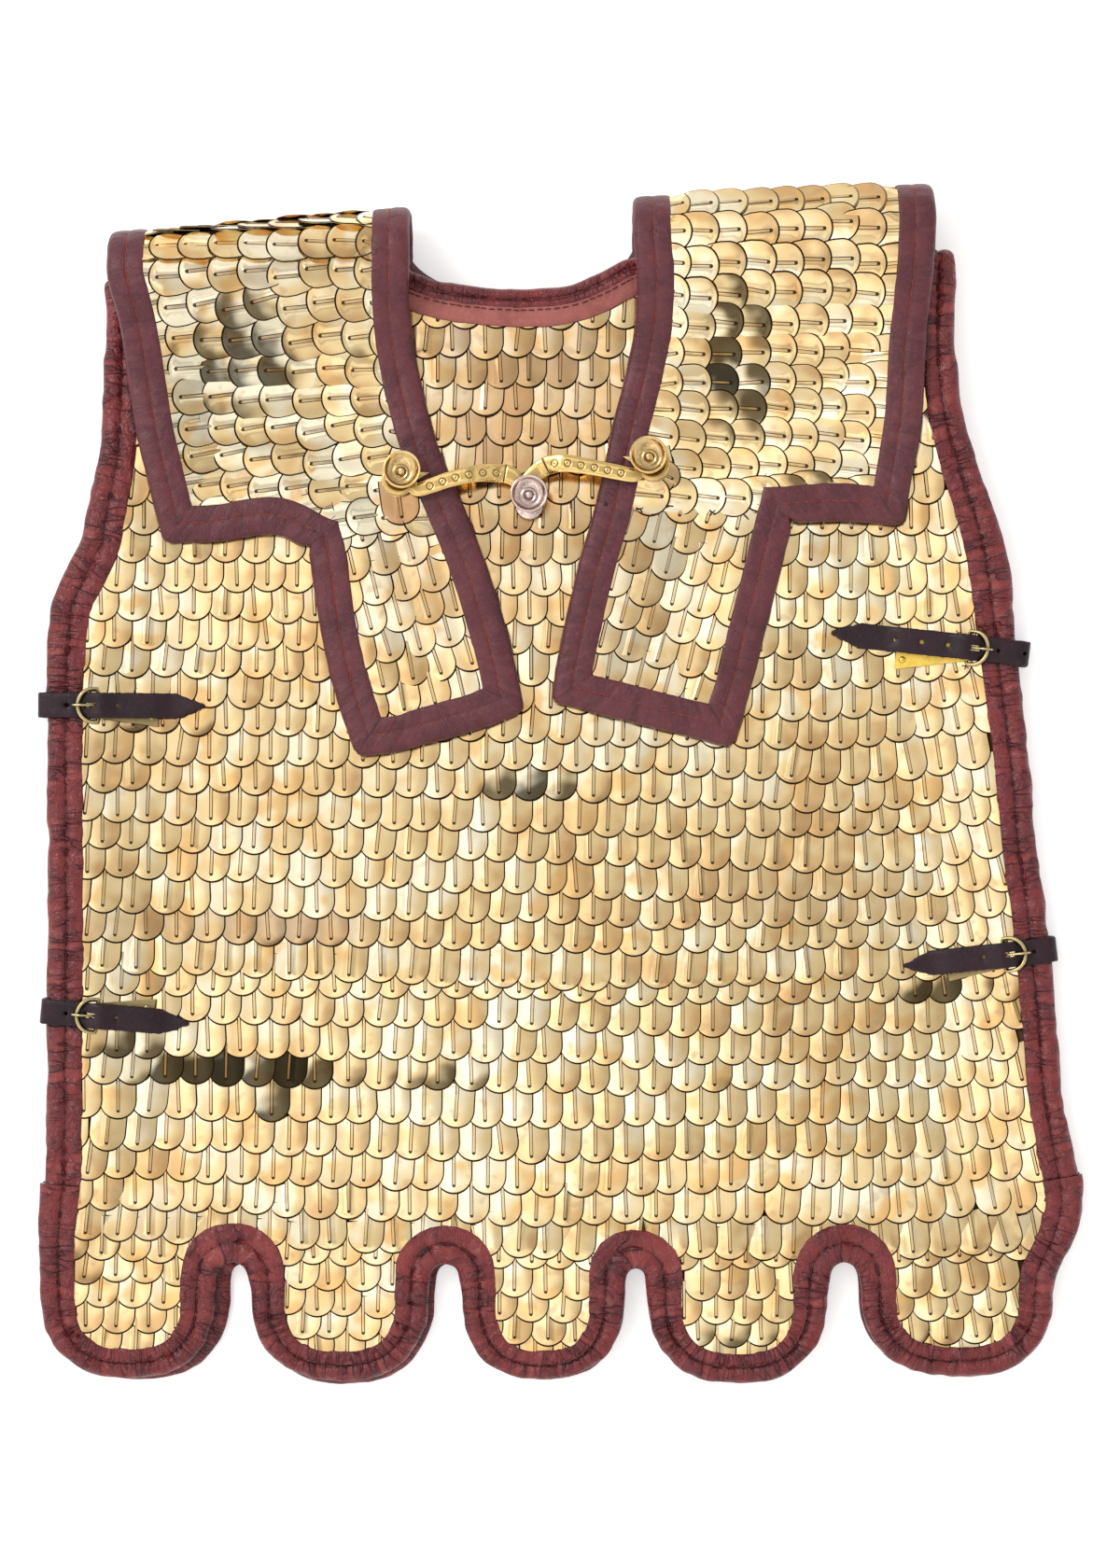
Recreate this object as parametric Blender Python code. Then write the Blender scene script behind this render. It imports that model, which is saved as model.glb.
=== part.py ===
"""Scale armour laid flat on its back: a leather shirt under rows of brass scales, with a shoulder doubling.

The shirt is a front and a back panel that meet at the shoulder fold. Each shoulder carries a doubling,
a flap in front that folds over the shoulder into half a yoke behind. Edges are bound with padded leather.
Sizes are in millimetres and become metres where meshes are made. +X is the front's right-hand side as seen,
+Y runs from the hem to the shoulders, and +Z stands up from the surface that the back rests on.
"""

import math
from collections import namedtuple

import bmesh
import bpy
import numpy as np
from mathutils.geometry import delaunay_2d_cdt

MM = 0.001

# The tables count from a point near the middle. The finished shirt is centred on its own outline.
MIDDLE = np.array((0.08, -4.22, 0.0))

# Layers, as distances from the middle of a leather wall, outwards to the side that shows.
LEATHER = 2.0
GAP = 0.3
SCALE_DEPTH = 2.6
FACE = LEATHER / 2
SCALE_FOOT = FACE + GAP
SCALE_TOP = SCALE_FOOT + SCALE_DEPTH
PAD_LIP = 4.3
PAD_CREST = 4.8
PAD_INSIDE = 3.5
TUCK = 7.0

# Widths of the padded bindings.
SIDE_BINDING = 21.0
HEM_BINDING = 18.0
NECK_ROLL = 12.0
BACK_NECK_BINDING = 18.0
DOUBLING_BINDING = 22.0
NECK_STRIP_WIDTH = 10.2
NECK_STRIP_FOOT = SCALE_TOP + GAP
NECK_STRIP_TOP = NECK_STRIP_FOOT + 1.2

# Heights of the leather walls' middles.
FLOOR_MID = SCALE_TOP
BACK_RISE = PAD_INSIDE + GAP + SCALE_TOP
FRONT_OVER_BACK = 2 * PAD_INSIDE + 0.6
FRONT_SAG = 5.0
SAG_FROM, SAG_TO = 21.5, 70.0
HEM_SAG_Y = -291.5
FLAP_OVER_FRONT = NECK_STRIP_TOP + GAP + PAD_INSIDE
FLAP_SAG = 1.9

# Shoulder folds.
BODY_FOLD = FRONT_OVER_BACK / 2
BODY_FOLD_Y = 293.5
DOUBLING_FOLD = 22.0
DOUBLING_FOLD_Y = 301.2
SLANT_FROM, SLANT_TO = 150.0, 290.0
FLAP_RISE = 66.0
YOKE_EDGE_Y = 168.0
CENTRE_BACK_X = -20.0

# Spool studs and hooks.
STUD_SEGMENTS = 12
NECK_RADIUS = 4.2
RING_OUTER, RING_INNER = 10.4, 6.2
HOOK_HALF_DEPTH = 1.2
RING_OVER_FOOT = 4.6
LEFT_HOOK_LOW, RIGHT_HOOK_LOW = 26.5, 29.3

# Straps and buckles.
STRAP_WIDTH, STRAP_THICK = 15.0, 2.2
WIRE = 1.2
BUCKLE_HALF = 9.8
HOLE_RADIUS = 1.3
HOLE_PITCH = 15.9
PLATE_THICK = 0.8


def table(columns, *rows):
    """Rows of numbers with named columns."""
    row = namedtuple("row", columns)
    return [row(*values) for values in rows]


# The back lies on the yoke above, on the floor below, and steps down between in straight slopes.
BACK_STEP = table("y share", (60, 0), (90, 0.2), (130, 0.8), (160, 1))

# Rise of the shoulder fold along the shirt, and along the doubling.
BODY_SHOULDER = table("x rise", (-320, -4), (-95, 16), (-20, 22.5), (55, 26), (290, 16))
DOUBLING_SHOULDER = table("x rise", (-300, -2.8), (-88, 15.4), (42, 21), (260, 30.7))

# Side edges of the front, from shoulder to hem, one row where the curve changes.
LEFT_EDGE = table(
    "y x",
    (262, -272.5), (225, -274), (195, -276.5), (160, -284), (145, -287.5), (130, -295), (110, -304.5),
    (90, -307), (60, -308.5), (10, -308.5), (-60, -308), (-170, -308.5), (-235, -309.5), (-270, -312.5),
    (-300, -313),
)
RIGHT_EDGE = table(
    "y x",
    (262, 238), (225, 242), (195, 250), (160, 262.5), (130, 270), (90, 274.5), (60, 277.5), (10, 283.5),
    (-40, 288), (-75, 293), (-150, 300.5), (-185, 303), (-220, 309), (-255, 314), (-280, 308), (-300, 299),
)

# Hem lobes: middle, half width and lowest point of each, and how far the back's lobe stands off the front's.
LOBE_TOP = -300.0
LOBE_POWER = 2.5
LOBE_STEPS = 6
HEM = table(
    "middle half_width bottom back_shift back_drop",
    (-259.5, 53.5, -360, 8, 2),
    (-132, 55, -361.5, 3, 3.5),
    (-10, 50, -361.5, 1, 1),
    (107.5, 55.5, -363, 0, 0),
    (240, 59, -359, -1, 0),
)

# Neck edges between the two shoulder folds.
FRONT_NECK = table(
    "x y", (47, 315), (38, 312), (24, 304.5), (4, 297), (-20, 295), (-45, 296), (-68, 299), (-82, 303), (-90, 306.5),
)
BACK_NECK = table("x y", (47, 314.5), (41, 306), (27, 295), (6, 286), (-20, 283), (-48, 285), (-70, 291), (-90, 305))
NECK_RIGHT_X, NECK_LEFT_X = 47.0, -90.0

# Each doubling seen from the front: its outline in order round the flap. Stations with the same pair number
# face each other across the tab.
LEFT_FLAP = table(
    "x y pair",
    (-267.5, 297, 0), (-261.5, 272, 0), (-258, 242.5, 0), (-253, 209, 0), (-244.5, 172, 0), (-237, 141.5, 0),
    (-204, 143, 0), (-172, 147, 0), (-151, 139, 0), (-149, 130, 3), (-143.5, 90, 2), (-137, 60, 1),
    (-122.5, 14, 0), (-98, 17, 0), (-73, 23.5, 0), (-46, 31.5, 0), (-20.5, 41, 0), (-26.5, 70, 1),
    (-31.5, 90, 2), (-43.5, 130, 3), (-55.5, 160, 0), (-73, 202, 0), (-81, 230, 0), (-87, 260, 0), (-89, 285, 0),
)
RIGHT_FLAP = table(
    "x y pair",
    (46, 298, 0), (45, 272, 0), (40, 245, 0), (33, 217, 0), (20.3, 160, 0), (11.5, 130, 3), (0.3, 80, 2),
    (-5.5, 47, 0), (27, 39, 0), (52, 32.5, 0), (78, 26, 0), (105, 19.5, 0), (117, 60, 0), (124, 90, 2),
    (134, 130, 3), (137.2, 143, 0), (140, 154, 0), (172, 155, 0), (206, 152, 0), (212.5, 187, 0), (217, 217, 0), (219, 252, 0),
    (222, 298, 0),
)
LEFT_CORNERS, RIGHT_CORNERS = (5, 8, 12, 16), (7, 11, 16, 18)
# The doubling's neck edge behind the fold: distance past the fold's end, counted to the centre back.
LEFT_YOKE_NECK = table("x past", (-88.5, 3), (-80, 11), (-66, 19), (-46, 31), (CENTRE_BACK_X - GAP / 2, 38))
RIGHT_YOKE_NECK = table("x past", (CENTRE_BACK_X + GAP / 2, 38), (6, 35), (28, 21), (38, 11), (44, 3))

# Hooks in plan, from the ring outwards; low is how far the bar has come down to the breast stud's neck.
LEFT_HOOK = table(
    "x y half_width low",
    (-84.5, 173.2, 4.0, 0), (-76, 175.6, 4.5, 0), (-66.6, 178.9, 4.7, 0), (-55.4, 181.7, 4.9, 0),
    (-44.2, 183.6, 5.3, 0.3), (-33, 183.5, 5.6, 0.8), (-28.5, 182.0, 5.4, 1), (-24.5, 179.0, 4.6, 1),
    (-18.2, 176.8, 3.3, 1), (-12.0, 173.8, 2.9, 1), (-9.8, 168.0, 2.4, 1), (-10.6, 165.0, 2.0, 1),
)
RIGHT_HOOK = table(
    "x y half_width low",
    (44.9, 181.9, 4.2, 0), (34.2, 183.7, 4.6, 0), (23, 185.9, 4.6, 0), (11.8, 187.9, 4.9, 0),
    (3.4, 189.0, 5.3, 0), (-6, 188.2, 5.5, 0.8), (-12, 185.0, 5.4, 1), (-18.0, 180.2, 4.4, 1),
    (-24.0, 175.0, 3.2, 1), (-26.1, 168.0, 2.4, 1), (-25.4, 165.0, 2.0, 1),
)
# Studs: middle of the foot, and how far the head leans for each millimetre of height.
STUDS = table(
    "name x y lean_x lean_y spur_x spur_y",
    ("stud_left", -96.2, 178.8, 0.22, 0.42, 19.0, 5.0),
    ("stud_right", 56.9, 187.5, -0.30, 0.42, -19.0, 6.0),
    ("stud_breast", -17.9, 165.1, 0.0, 0.28, 0.0, 0.0),
)

# Straps: where each crosses the edge, its direction towards the breast, its reach to the tip, how far its
# bend stands off the edge, where the wire and the bar of its buckle cross it, how its plate drifts, and its
# round holes before and past the prong's.
STRAPS = table(
    "name x y along_x along_y reach slack wire bar plate drift before past",
    ("left_upper", -309, 45.3, 1.0, -0.006, 95, 4.8, 20, 31.5, 36, -3.0, 1, 1),
    ("left_lower", -308, -139, 0.9959, -0.0907, 85, 4.2, 18.5, 30, 34, 3.5, 1, 1),
    ("right_upper", 276.5, 76.3, -0.9936, 0.1125, 113, 6.6, 19.5, 31, 42, -8.0, 2, 3),
    ("right_lower", 295.2, -101.8, -0.9934, -0.1152, 88, 4.6, 15.5, 28, 34, -2.5, 1, 1),
)


def smooth(value, start, end):
    """0 before start, 1 after end, and an even curve between."""
    t = np.clip((value - start) / (end - start), 0.0, 1.0)
    return t * t * (3.0 - 2.0 * t)


def rise_of(rows, x):
    return np.interp(x, [r.x for r in rows], [r.rise for r in rows])


def edge_x(rows, y):
    return np.interp(y, [r.y for r in reversed(rows)], [r.x for r in reversed(rows)])


def slanted(v, rise):
    """Height on the garment of pattern height v, where the shoulder fold rises by this much."""
    return v + rise * smooth(v, SLANT_FROM, SLANT_TO)


def pattern_height(y, rise):
    """The pattern height that slanted() carries to y."""
    v = y
    for _ in range(30):
        v = y - rise * smooth(v, SLANT_FROM, SLANT_TO)
    return v


# ---------------------------------------------------------------- heights of the laid panels


def back_height(y):
    return FLOOR_MID + BACK_RISE * np.interp(y, [r.y for r in BACK_STEP], [r.share for r in BACK_STEP])


def front_height(x, y):
    """The front lies on the back: its padded edges hold it up and it sags between them."""
    sides = min(x - edge_x(LEFT_EDGE, y), edge_x(RIGHT_EDGE, y) - x)
    top = BODY_FOLD_Y + rise_of(BODY_SHOULDER, x) - y
    inside = min(sides, top, y - HEM_SAG_Y)
    return back_height(y) + FRONT_OVER_BACK - FRONT_SAG * np.interp(inside, [SAG_FROM, SAG_TO], [0.0, 1.0])


def front_surface(x, v):
    rise = rise_of(BODY_SHOULDER, x)
    if v <= BODY_FOLD_Y:
        y = slanted(v, rise)
        return np.array((x, y, front_height(x, y)))
    turn = (v - BODY_FOLD_Y) / BODY_FOLD
    middle = FLOOR_MID + BACK_RISE + BODY_FOLD
    return np.array((x, BODY_FOLD_Y + rise + BODY_FOLD * math.sin(turn), middle + BODY_FOLD * math.cos(turn)))


def back_surface(x, v):
    rise = rise_of(BODY_SHOULDER, x)
    if v <= BODY_FOLD_Y:
        y = slanted(v, rise)
        return np.array((x, y, back_height(y)))
    turn = (v - BODY_FOLD_Y) / BODY_FOLD
    middle = FLOOR_MID + BACK_RISE + BODY_FOLD
    return np.array((x, BODY_FOLD_Y + rise + BODY_FOLD * math.sin(turn), middle - BODY_FOLD * math.cos(turn)))


def doubling_surface(x, v):
    """The flap over the front, then the fold over the shoulder, then the yoke under the back."""
    rise = rise_of(DOUBLING_SHOULDER, x)
    top = FLOOR_MID + 2 * DOUBLING_FOLD
    if v <= DOUBLING_FOLD_Y:
        y = slanted(v, rise)
        lift = FLAP_OVER_FRONT - FLAP_SAG * flap_sag(x, y)
        laid = front_height(x, y) + lift
        climb = smooth(y, DOUBLING_FOLD_Y + rise - FLAP_RISE, DOUBLING_FOLD_Y + rise)
        return np.array((x, y, laid + (top - laid) * climb))
    turn = (v - DOUBLING_FOLD_Y) / DOUBLING_FOLD
    if turn <= math.pi:
        reach = DOUBLING_FOLD * math.sin(turn)
        return np.array((x, DOUBLING_FOLD_Y + rise + reach, top - DOUBLING_FOLD * (1 - math.cos(turn))))
    past = v - DOUBLING_FOLD_Y - math.pi * DOUBLING_FOLD
    return np.array((x, DOUBLING_FOLD_Y + rise - past, FLOOR_MID))


def flap_sag(x, y):
    """How far a point lies inside its flap, 0 at the bound edge and 1 well inside."""
    inside = 1.0
    for flap in (LEFT_FLAP, RIGHT_FLAP):
        middle = sum(r.x for r in flap) / len(flap)
        if (x < CENTRE_BACK_X) == (middle < CENTRE_BACK_X):
            inside = distance_to(flap, x, y)
    return smooth(inside, 24.0, 60.0)


def distance_to(rows, x, y):
    """Shortest distance from a point to the line through the rows."""
    points = np.array([(r.x, r.y) for r in rows], float)
    start, step = points[:-1], np.diff(points, axis=0)
    along = ((np.array((x, y)) - start) * step).sum(1) / (step * step).sum(1)
    nearest = start + np.clip(along, 0, 1)[:, None] * step
    return float(np.hypot(*(np.array((x, y)) - nearest).T).min())


def outward(surface, side):
    """A function that places (x, v, distance) on the outer side of a surface."""
    reach = 0.05

    def place(x, v, distance):
        across = surface(x + reach, v) - surface(x - reach, v)
        up = surface(x, v + reach) - surface(x, v - reach)
        normal = np.cross(across, up)
        return surface(x, v) + side * distance * normal / np.linalg.norm(normal)

    return place


# ---------------------------------------------------------------- outlines in the pattern


def lobe_outline(back):
    """The hem from left to right: a rounded lobe for each row, and a small arch between two lobes."""
    lobes = []
    for row in HEM:
        middle = row.middle + (row.back_shift if back else 0)
        bottom = row.bottom - (row.back_drop if back else 0)
        lobes.append((middle, row.half_width, bottom))
    points = []
    for index, (middle, half, bottom) in enumerate(lobes):
        for step in range(LOBE_STEPS + 1):
            angle = math.pi * step / LOBE_STEPS
            across = -math.copysign(abs(math.cos(angle)) ** (2 / LOBE_POWER), math.cos(angle))
            down = math.sin(angle) ** (2 / LOBE_POWER)
            points.append((middle + half * across, LOBE_TOP + (bottom - LOBE_TOP) * down))
        if index + 1 < len(lobes):
            left = middle + half
            right = lobes[index + 1][0] - lobes[index + 1][1]
            radius = (right - left) / 2
            for angle in (math.radians(125), math.radians(90), math.radians(55)):
                points.append((left + radius + radius * math.cos(angle), LOBE_TOP + radius * math.sin(angle)))
    return points


def fold_rows(start, radius, turns):
    return [start + radius * math.radians(turn) for turn in turns]


BODY_FOLD_ROWS = fold_rows(BODY_FOLD_Y, BODY_FOLD, (0, 45))
BODY_SEAM = BODY_FOLD_Y + BODY_FOLD * math.pi / 2 - GAP / 2
DOUBLING_FOLD_ROWS = fold_rows(DOUBLING_FOLD_Y, DOUBLING_FOLD, range(0, 181, 30))


def on_body(x, y):
    return float(x), float(pattern_height(y, rise_of(BODY_SHOULDER, x)))


def on_doubling(x, y):
    return float(x), float(pattern_height(y, rise_of(DOUBLING_SHOULDER, x)))


def body_edges(back):
    """The shirt's outline as two lines, each run with the leather on its left: sides and hem, then the neck.

    It also gives the stations where the hem starts and ends, and the binding's width at each station.
    """
    inset = 0.5 if back else 0.0
    tops = [BODY_SEAM, *reversed(BODY_FOLD_ROWS)]
    left = [(r.x + inset, r.y) for r in LEFT_EDGE[:-1]]
    right = [(r.x - inset, r.y) for r in reversed(RIGHT_EDGE[:-1])]
    if back:
        left, right = with_root_stations(left), with_root_stations(right)
    left_line = [(left[0][0], v) for v in tops] + [on_body(*p) for p in left]
    right_line = [on_body(*p) for p in right] + [(right[-1][0], v) for v in reversed(tops)]
    hem = [on_body(*p) for p in lobe_outline(back)]
    widths = [SIDE_BINDING] * len(left_line) + [HEM_BINDING] * len(hem) + [SIDE_BINDING] * len(right_line)
    sides = edge(left_line + hem + right_line)
    neck = [(NECK_RIGHT_X, v) for v in tops]
    neck += [on_body(r.x, r.y) for r in (BACK_NECK if back else FRONT_NECK)]
    neck += [(NECK_LEFT_X, v) for v in reversed(tops)]
    return sides, edge(neck), (len(left_line), len(left_line) + len(hem) - 1), np.array(widths)


def with_root_stations(line):
    """A side's points with more beside each strap's root, where the binding behind is hollowed for it."""
    line = sorted(line, key=lambda p: p[1])
    heights = [p[1] for p in line]
    new = []
    for row in STRAPS:
        if (row.x < 0) == (line[0][0] < 0):
            spots = [row.y + d for d in (-STOP_WIDE, -STOP_NARROW, STOP_NARROW, STOP_WIDE)]
            new += [(float(np.interp(y, heights, [p[0] for p in line])), y) for y in spots]
    line = sorted(line + new, key=lambda p: p[1])
    return line if line[0][0] > 0 else line[::-1]


def doubling_chain(left_side):
    """One open line round a doubling, from the centre-back seam to the centre-back seam, with corner indices."""
    flap = LEFT_FLAP if left_side else RIGHT_FLAP
    fold_end = DOUBLING_FOLD_ROWS[-1]
    front = [on_doubling(r.x, r.y) for r in flap]

    def yoke(x, y):
        return x, fold_end + DOUBLING_FOLD_Y + rise_of(DOUBLING_SHOULDER, x) - y

    if left_side:
        inner_x, outer_x, corner_x, seam_x = -88.5, -268.0, -262.0, CENTRE_BACK_X - GAP / 2
        edge_line = [yoke(seam_x, YOKE_EDGE_Y), yoke(-140.0, YOKE_EDGE_Y), yoke(corner_x, YOKE_EDGE_Y)]
        outer = [yoke(-265.0, 240.0)] + [(outer_x, v) for v in reversed(DOUBLING_FOLD_ROWS)]
        inner = [(inner_x, v) for v in DOUBLING_FOLD_ROWS]
        neck = [(r.x, fold_end + r.past) for r in LEFT_YOKE_NECK]
        return edge_line + outer + front + inner + neck
    inner_x, outer_x, corner_x, seam_x = 44.0, 223.0, 217.0, CENTRE_BACK_X + GAP / 2
    neck = [(r.x, fold_end + r.past) for r in RIGHT_YOKE_NECK]
    inner = [(inner_x, v) for v in reversed(DOUBLING_FOLD_ROWS)]
    outer = [(outer_x, v) for v in DOUBLING_FOLD_ROWS] + [yoke(220.0, 240.0)]
    edge_line = [yoke(corner_x, YOKE_EDGE_Y), yoke(95.0, YOKE_EDGE_Y), yoke(seam_x, YOKE_EDGE_Y)]
    return neck + inner + front + outer + edge_line


Edge = namedtuple("Edge", "points normals")


def edge(points, upright_ends=False):
    """An open line with its normals to the left, lengthened at corners so that offsets keep their distance.

    Upright ends belong to a seam that runs up the pattern: what is moved in from them stays on the seam.
    """
    points = np.array(points, float)
    steps = np.diff(points, axis=0)
    sides = np.stack([-steps[:, 1], steps[:, 0]], 1) / np.hypot(*steps.T)[:, None]
    before, after = np.vstack([sides[:1], sides]), np.vstack([sides, sides[-1:]])
    normals = (before + after) / (1 + (before * after).sum(1))[:, None]
    if upright_ends:
        for end in (0, -1):
            normals[end] = (0.0, 1.0 / normals[end][1])
    return Edge(points, normals)


def moved_in(line, distance):
    return line.points + np.reshape(distance, (-1, 1)) * line.normals


# ---------------------------------------------------------------- solids


def material(name, colour, roughness, metallic):
    made = bpy.data.materials.new(name)
    made.use_nodes = True
    shader = made.node_tree.nodes["Principled BSDF"]
    shader.inputs["Base Color"].default_value = (*colour, 1.0)
    shader.inputs["Roughness"].default_value = roughness
    shader.inputs["Metallic"].default_value = metallic
    return made


def add_object(name, points, faces, finish):
    """A closed mesh object in metres from points in millimetres, with its own material."""
    mesh = bpy.data.meshes.new(name)
    places = [tuple((np.array(p) - MIDDLE) * MM) for p in points]
    mesh.from_pydata(places, [], [tuple(f) for f in faces])
    shape = bmesh.new()
    shape.from_mesh(mesh)
    bmesh.ops.recalc_face_normals(shape, faces=shape.faces)
    shape.to_mesh(mesh)
    shape.free()
    mesh.materials.append(material(name, *finish))
    mesh.shade_smooth()
    mesh.set_sharp_from_angle(angle=math.radians(35))
    made = bpy.data.objects.new(name, mesh)
    bpy.context.scene.collection.objects.link(made)
    return made


def inside_of(loop, points):
    """Which points lie inside a closed loop."""
    loop = np.asarray(loop, float)
    after = np.roll(loop, -1, axis=0)
    x, y = np.asarray(points, float).T
    crossings = np.zeros(len(x), int)
    for (x0, y0), (x1, y1) in zip(loop, after):
        if y0 != y1:
            spans = (y0 > y) != (y1 > y)
            crossings += spans & (x < (x1 - x0) * (y - y0) / (y1 - y0) + x0)
    return crossings % 2 == 1


def tiles(loops, lines, dots):
    """Triangles over the plane that keep every loop and line as edges: (points, triangles)."""
    points, edges = [], []
    for loop in loops:
        first = len(points)
        points += [tuple(p) for p in loop]
        edges += [(first + i, first + (i + 1) % len(loop)) for i in range(len(loop))]
    for line in lines:
        first = len(points)
        points += [tuple(p) for p in line]
        edges += [(first + i, first + i + 1) for i in range(len(line) - 1)]
    points += [tuple(p) for p in dots]
    made, _, faces, *_ = delaunay_2d_cdt(points, edges, [], 0, 1e-4)
    return np.array([tuple(p) for p in made]), np.array(faces)


def zigzag(near, far):
    """The edges between two offsets of one line, with the diagonals that strip() uses."""
    return [p for pair in zip(far, near) for p in pair]


def tiles_within(grid, outline, holes=()):
    points, faces = grid
    middles = points[faces].mean(1)
    keep = inside_of(outline, middles)
    for hole in holes:
        keep &= ~inside_of(hole, middles)
    return faces[keep]


def wall(name, grid, faces, place, foot, top, finish):
    """A wall between two distances from a surface, over the given tiles of a grid."""
    points = grid[0]
    used = sorted(set(faces.ravel().tolist()))
    order = {old: new for new, old in enumerate(used)}
    count = len(used)
    faces = [[order[i] for i in face] for face in faces.tolist()]
    solid = [place(*points[i], foot) for i in used] + [place(*points[i], top) for i in used]
    sides = {}
    for face in faces:
        for a, b in zip(face, face[1:] + face[:1]):
            sides[(a, b)] = True
    rims = [(a, b, b + count, a + count) for a, b in sides if (b, a) not in sides]
    tops = [[i + count for i in face] for face in faces]
    return add_object(name, solid, [face[::-1] for face in faces] + tops + rims, finish)


def strip(name, line, first, last, section, place, finish):
    """A closed strip along part of an edge: section(i) gives (inward, outward) points at station i.

    Where the edge goes on past an end, that end stands off its station by half a seam.
    """
    points, faces = [], []
    for i in range(first, last + 1):
        shift = np.zeros(2)
        if i == first > 0:
            shift = seam_shift(line.points[i + 1] - line.points[i], line.normals[i])
        if i == last < len(line.points) - 1:
            shift = seam_shift(line.points[i - 1] - line.points[i], line.normals[i])
        for inward, out in section(i):
            points.append(place(*(line.points[i] + shift + inward * line.normals[i]), out))
    widths = [inward for inward, _ in section(first)]
    size = len(widths)
    for i in range(last - first):
        for j in range(size):
            a, b = i * size + j, i * size + (j + 1) % size
            if widths[j] < widths[(j + 1) % size]:
                faces += [(a, b, b + size), (a, b + size, a + size)]
            else:
                faces += [(a, b, a + size), (b, b + size, a + size)]
    faces.append(tuple(range(size))[::-1])
    faces.append(tuple(range(len(points) - size, len(points))))
    return add_object(name, points, faces, finish)


def seam_shift(along, normal):
    """A move along the strip that leaves half a seam between its end and the mitre line."""
    along = along / np.linalg.norm(along)
    mitre = normal / np.linalg.norm(normal)
    return along * (GAP / 2) / abs(along[0] * mitre[1] - along[1] * mitre[0])


def binding_section(width, flat=False, inside=PAD_INSIDE):
    """A padded binding round a leather edge, with the slot that the edge is tucked into.

    A flat one rests on the floor. The crest is rounded elsewhere.
    """
    deep = width - TUCK - GAP
    crest = (0.22 * width, SCALE_TOP) if flat else (0.5 * width, PAD_CREST)
    lip = SCALE_TOP if flat else PAD_LIP
    return [
        (width, lip), crest, (0.0, 0.4), (0.5 * width, -inside),
        (width, -SCALE_FOOT), (deep, -SCALE_FOOT), (deep, SCALE_FOOT), (width, SCALE_FOOT),
    ]


LEATHER_RED = ((0.20, 0.035, 0.03), 0.55, 0.0)
LEATHER_PINK = ((0.42, 0.13, 0.11), 0.5, 0.0)
LEATHER_DARK = ((0.07, 0.02, 0.022), 0.5, 0.0)
LEATHER_STRAP = ((0.04, 0.015, 0.02), 0.5, 0.0)
LEATHER_WALL = ((0.24, 0.10, 0.05), 0.7, 0.0)
BRASS = ((0.80, 0.55, 0.26), 0.3, 1.0)
BRASS_DARK = ((0.55, 0.38, 0.16), 0.35, 1.0)


# ---------------------------------------------------------------- shirt

RING_ROWS = (-222, -150, -60, 10, 60, 90, 130, 160, 195)
RING_TOP_X = (-204, -95, -20, 55, 174)
RAMP_Y = -270.0
FOLD_INSIDE = 2.0
ROOT_REACH = 11.0
ROOT_ROOF = FLOOR_MID - STRAP_THICK - GAP - 0.1
STOP_WIDE, STOP_NARROW = STRAP_WIDTH / 2 + 4.6, STRAP_WIDTH / 2 + 2.2


def sag_ring():
    """The line inside which the front has sagged in full."""
    left = [(edge_x(LEFT_EDGE, y) + SAG_TO, y) for y in RING_ROWS]
    right = [(edge_x(RIGHT_EDGE, y) - SAG_TO, y) for y in reversed(RING_ROWS)]
    top = [(x, BODY_FOLD_Y + rise_of(BODY_SHOULDER, x) - SAG_TO) for x in RING_TOP_X]
    return [on_body(*p) for p in left + top + right]


def body_panel(label, back):
    """The leather panel and its field of scales, cut from one grid."""
    sides, neck, _, widths = body_edges(back)
    neck_width = BACK_NECK_BINDING if back else NECK_ROLL
    leather = np.vstack([moved_in(sides, widths - TUCK), moved_in(neck, neck_width - TUCK)])
    scales = np.vstack([moved_in(sides, widths + GAP), moved_in(neck, neck_width + GAP)])
    ring = sag_ring()
    count, last = len(sides.points), len(leather) - 1
    creases = [zigzag(leather[:count], scales[:count]), zigzag(leather[count:], scales[count:])]
    for i in (1, 2):
        creases += [[leather[i], leather[last - i]], [leather[count - 1 - i], leather[count + i]]]
    for row in BACK_STEP:
        ends = [i for i, p in enumerate(sides.points) if abs(p[1] - on_body(p[0], row.y)[1]) < 1e-6]
        inner = [on_body(line(row.y), row.y) for line in (ring_left, ring_right)]
        between = [] if back else inner
        creases.append([
            leather[ends[0]], scales[ends[0]], *between, scales[ends[1]], leather[ends[1]],
        ])
    loops = [leather, scales]
    if not back:
        loops.append(ring)
        creases.append([on_body(-284.0, RAMP_Y), on_body(284.0, RAMP_Y)])
    grid = tiles(loops, creases, [])
    place = outward(back_surface, -1) if back else outward(front_surface, 1)
    wall(f"{label}_panel", grid, tiles_within(grid, leather), place, -FACE, FACE, LEATHER_WALL)
    wall(f"{label}_scales", grid, tiles_within(grid, scales), place, SCALE_FOOT, SCALE_TOP, BRASS)


def ring_left(y):
    return edge_x(LEFT_EDGE, y) + SAG_TO


def ring_right(y):
    return edge_x(RIGHT_EDGE, y) - SAG_TO


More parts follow.
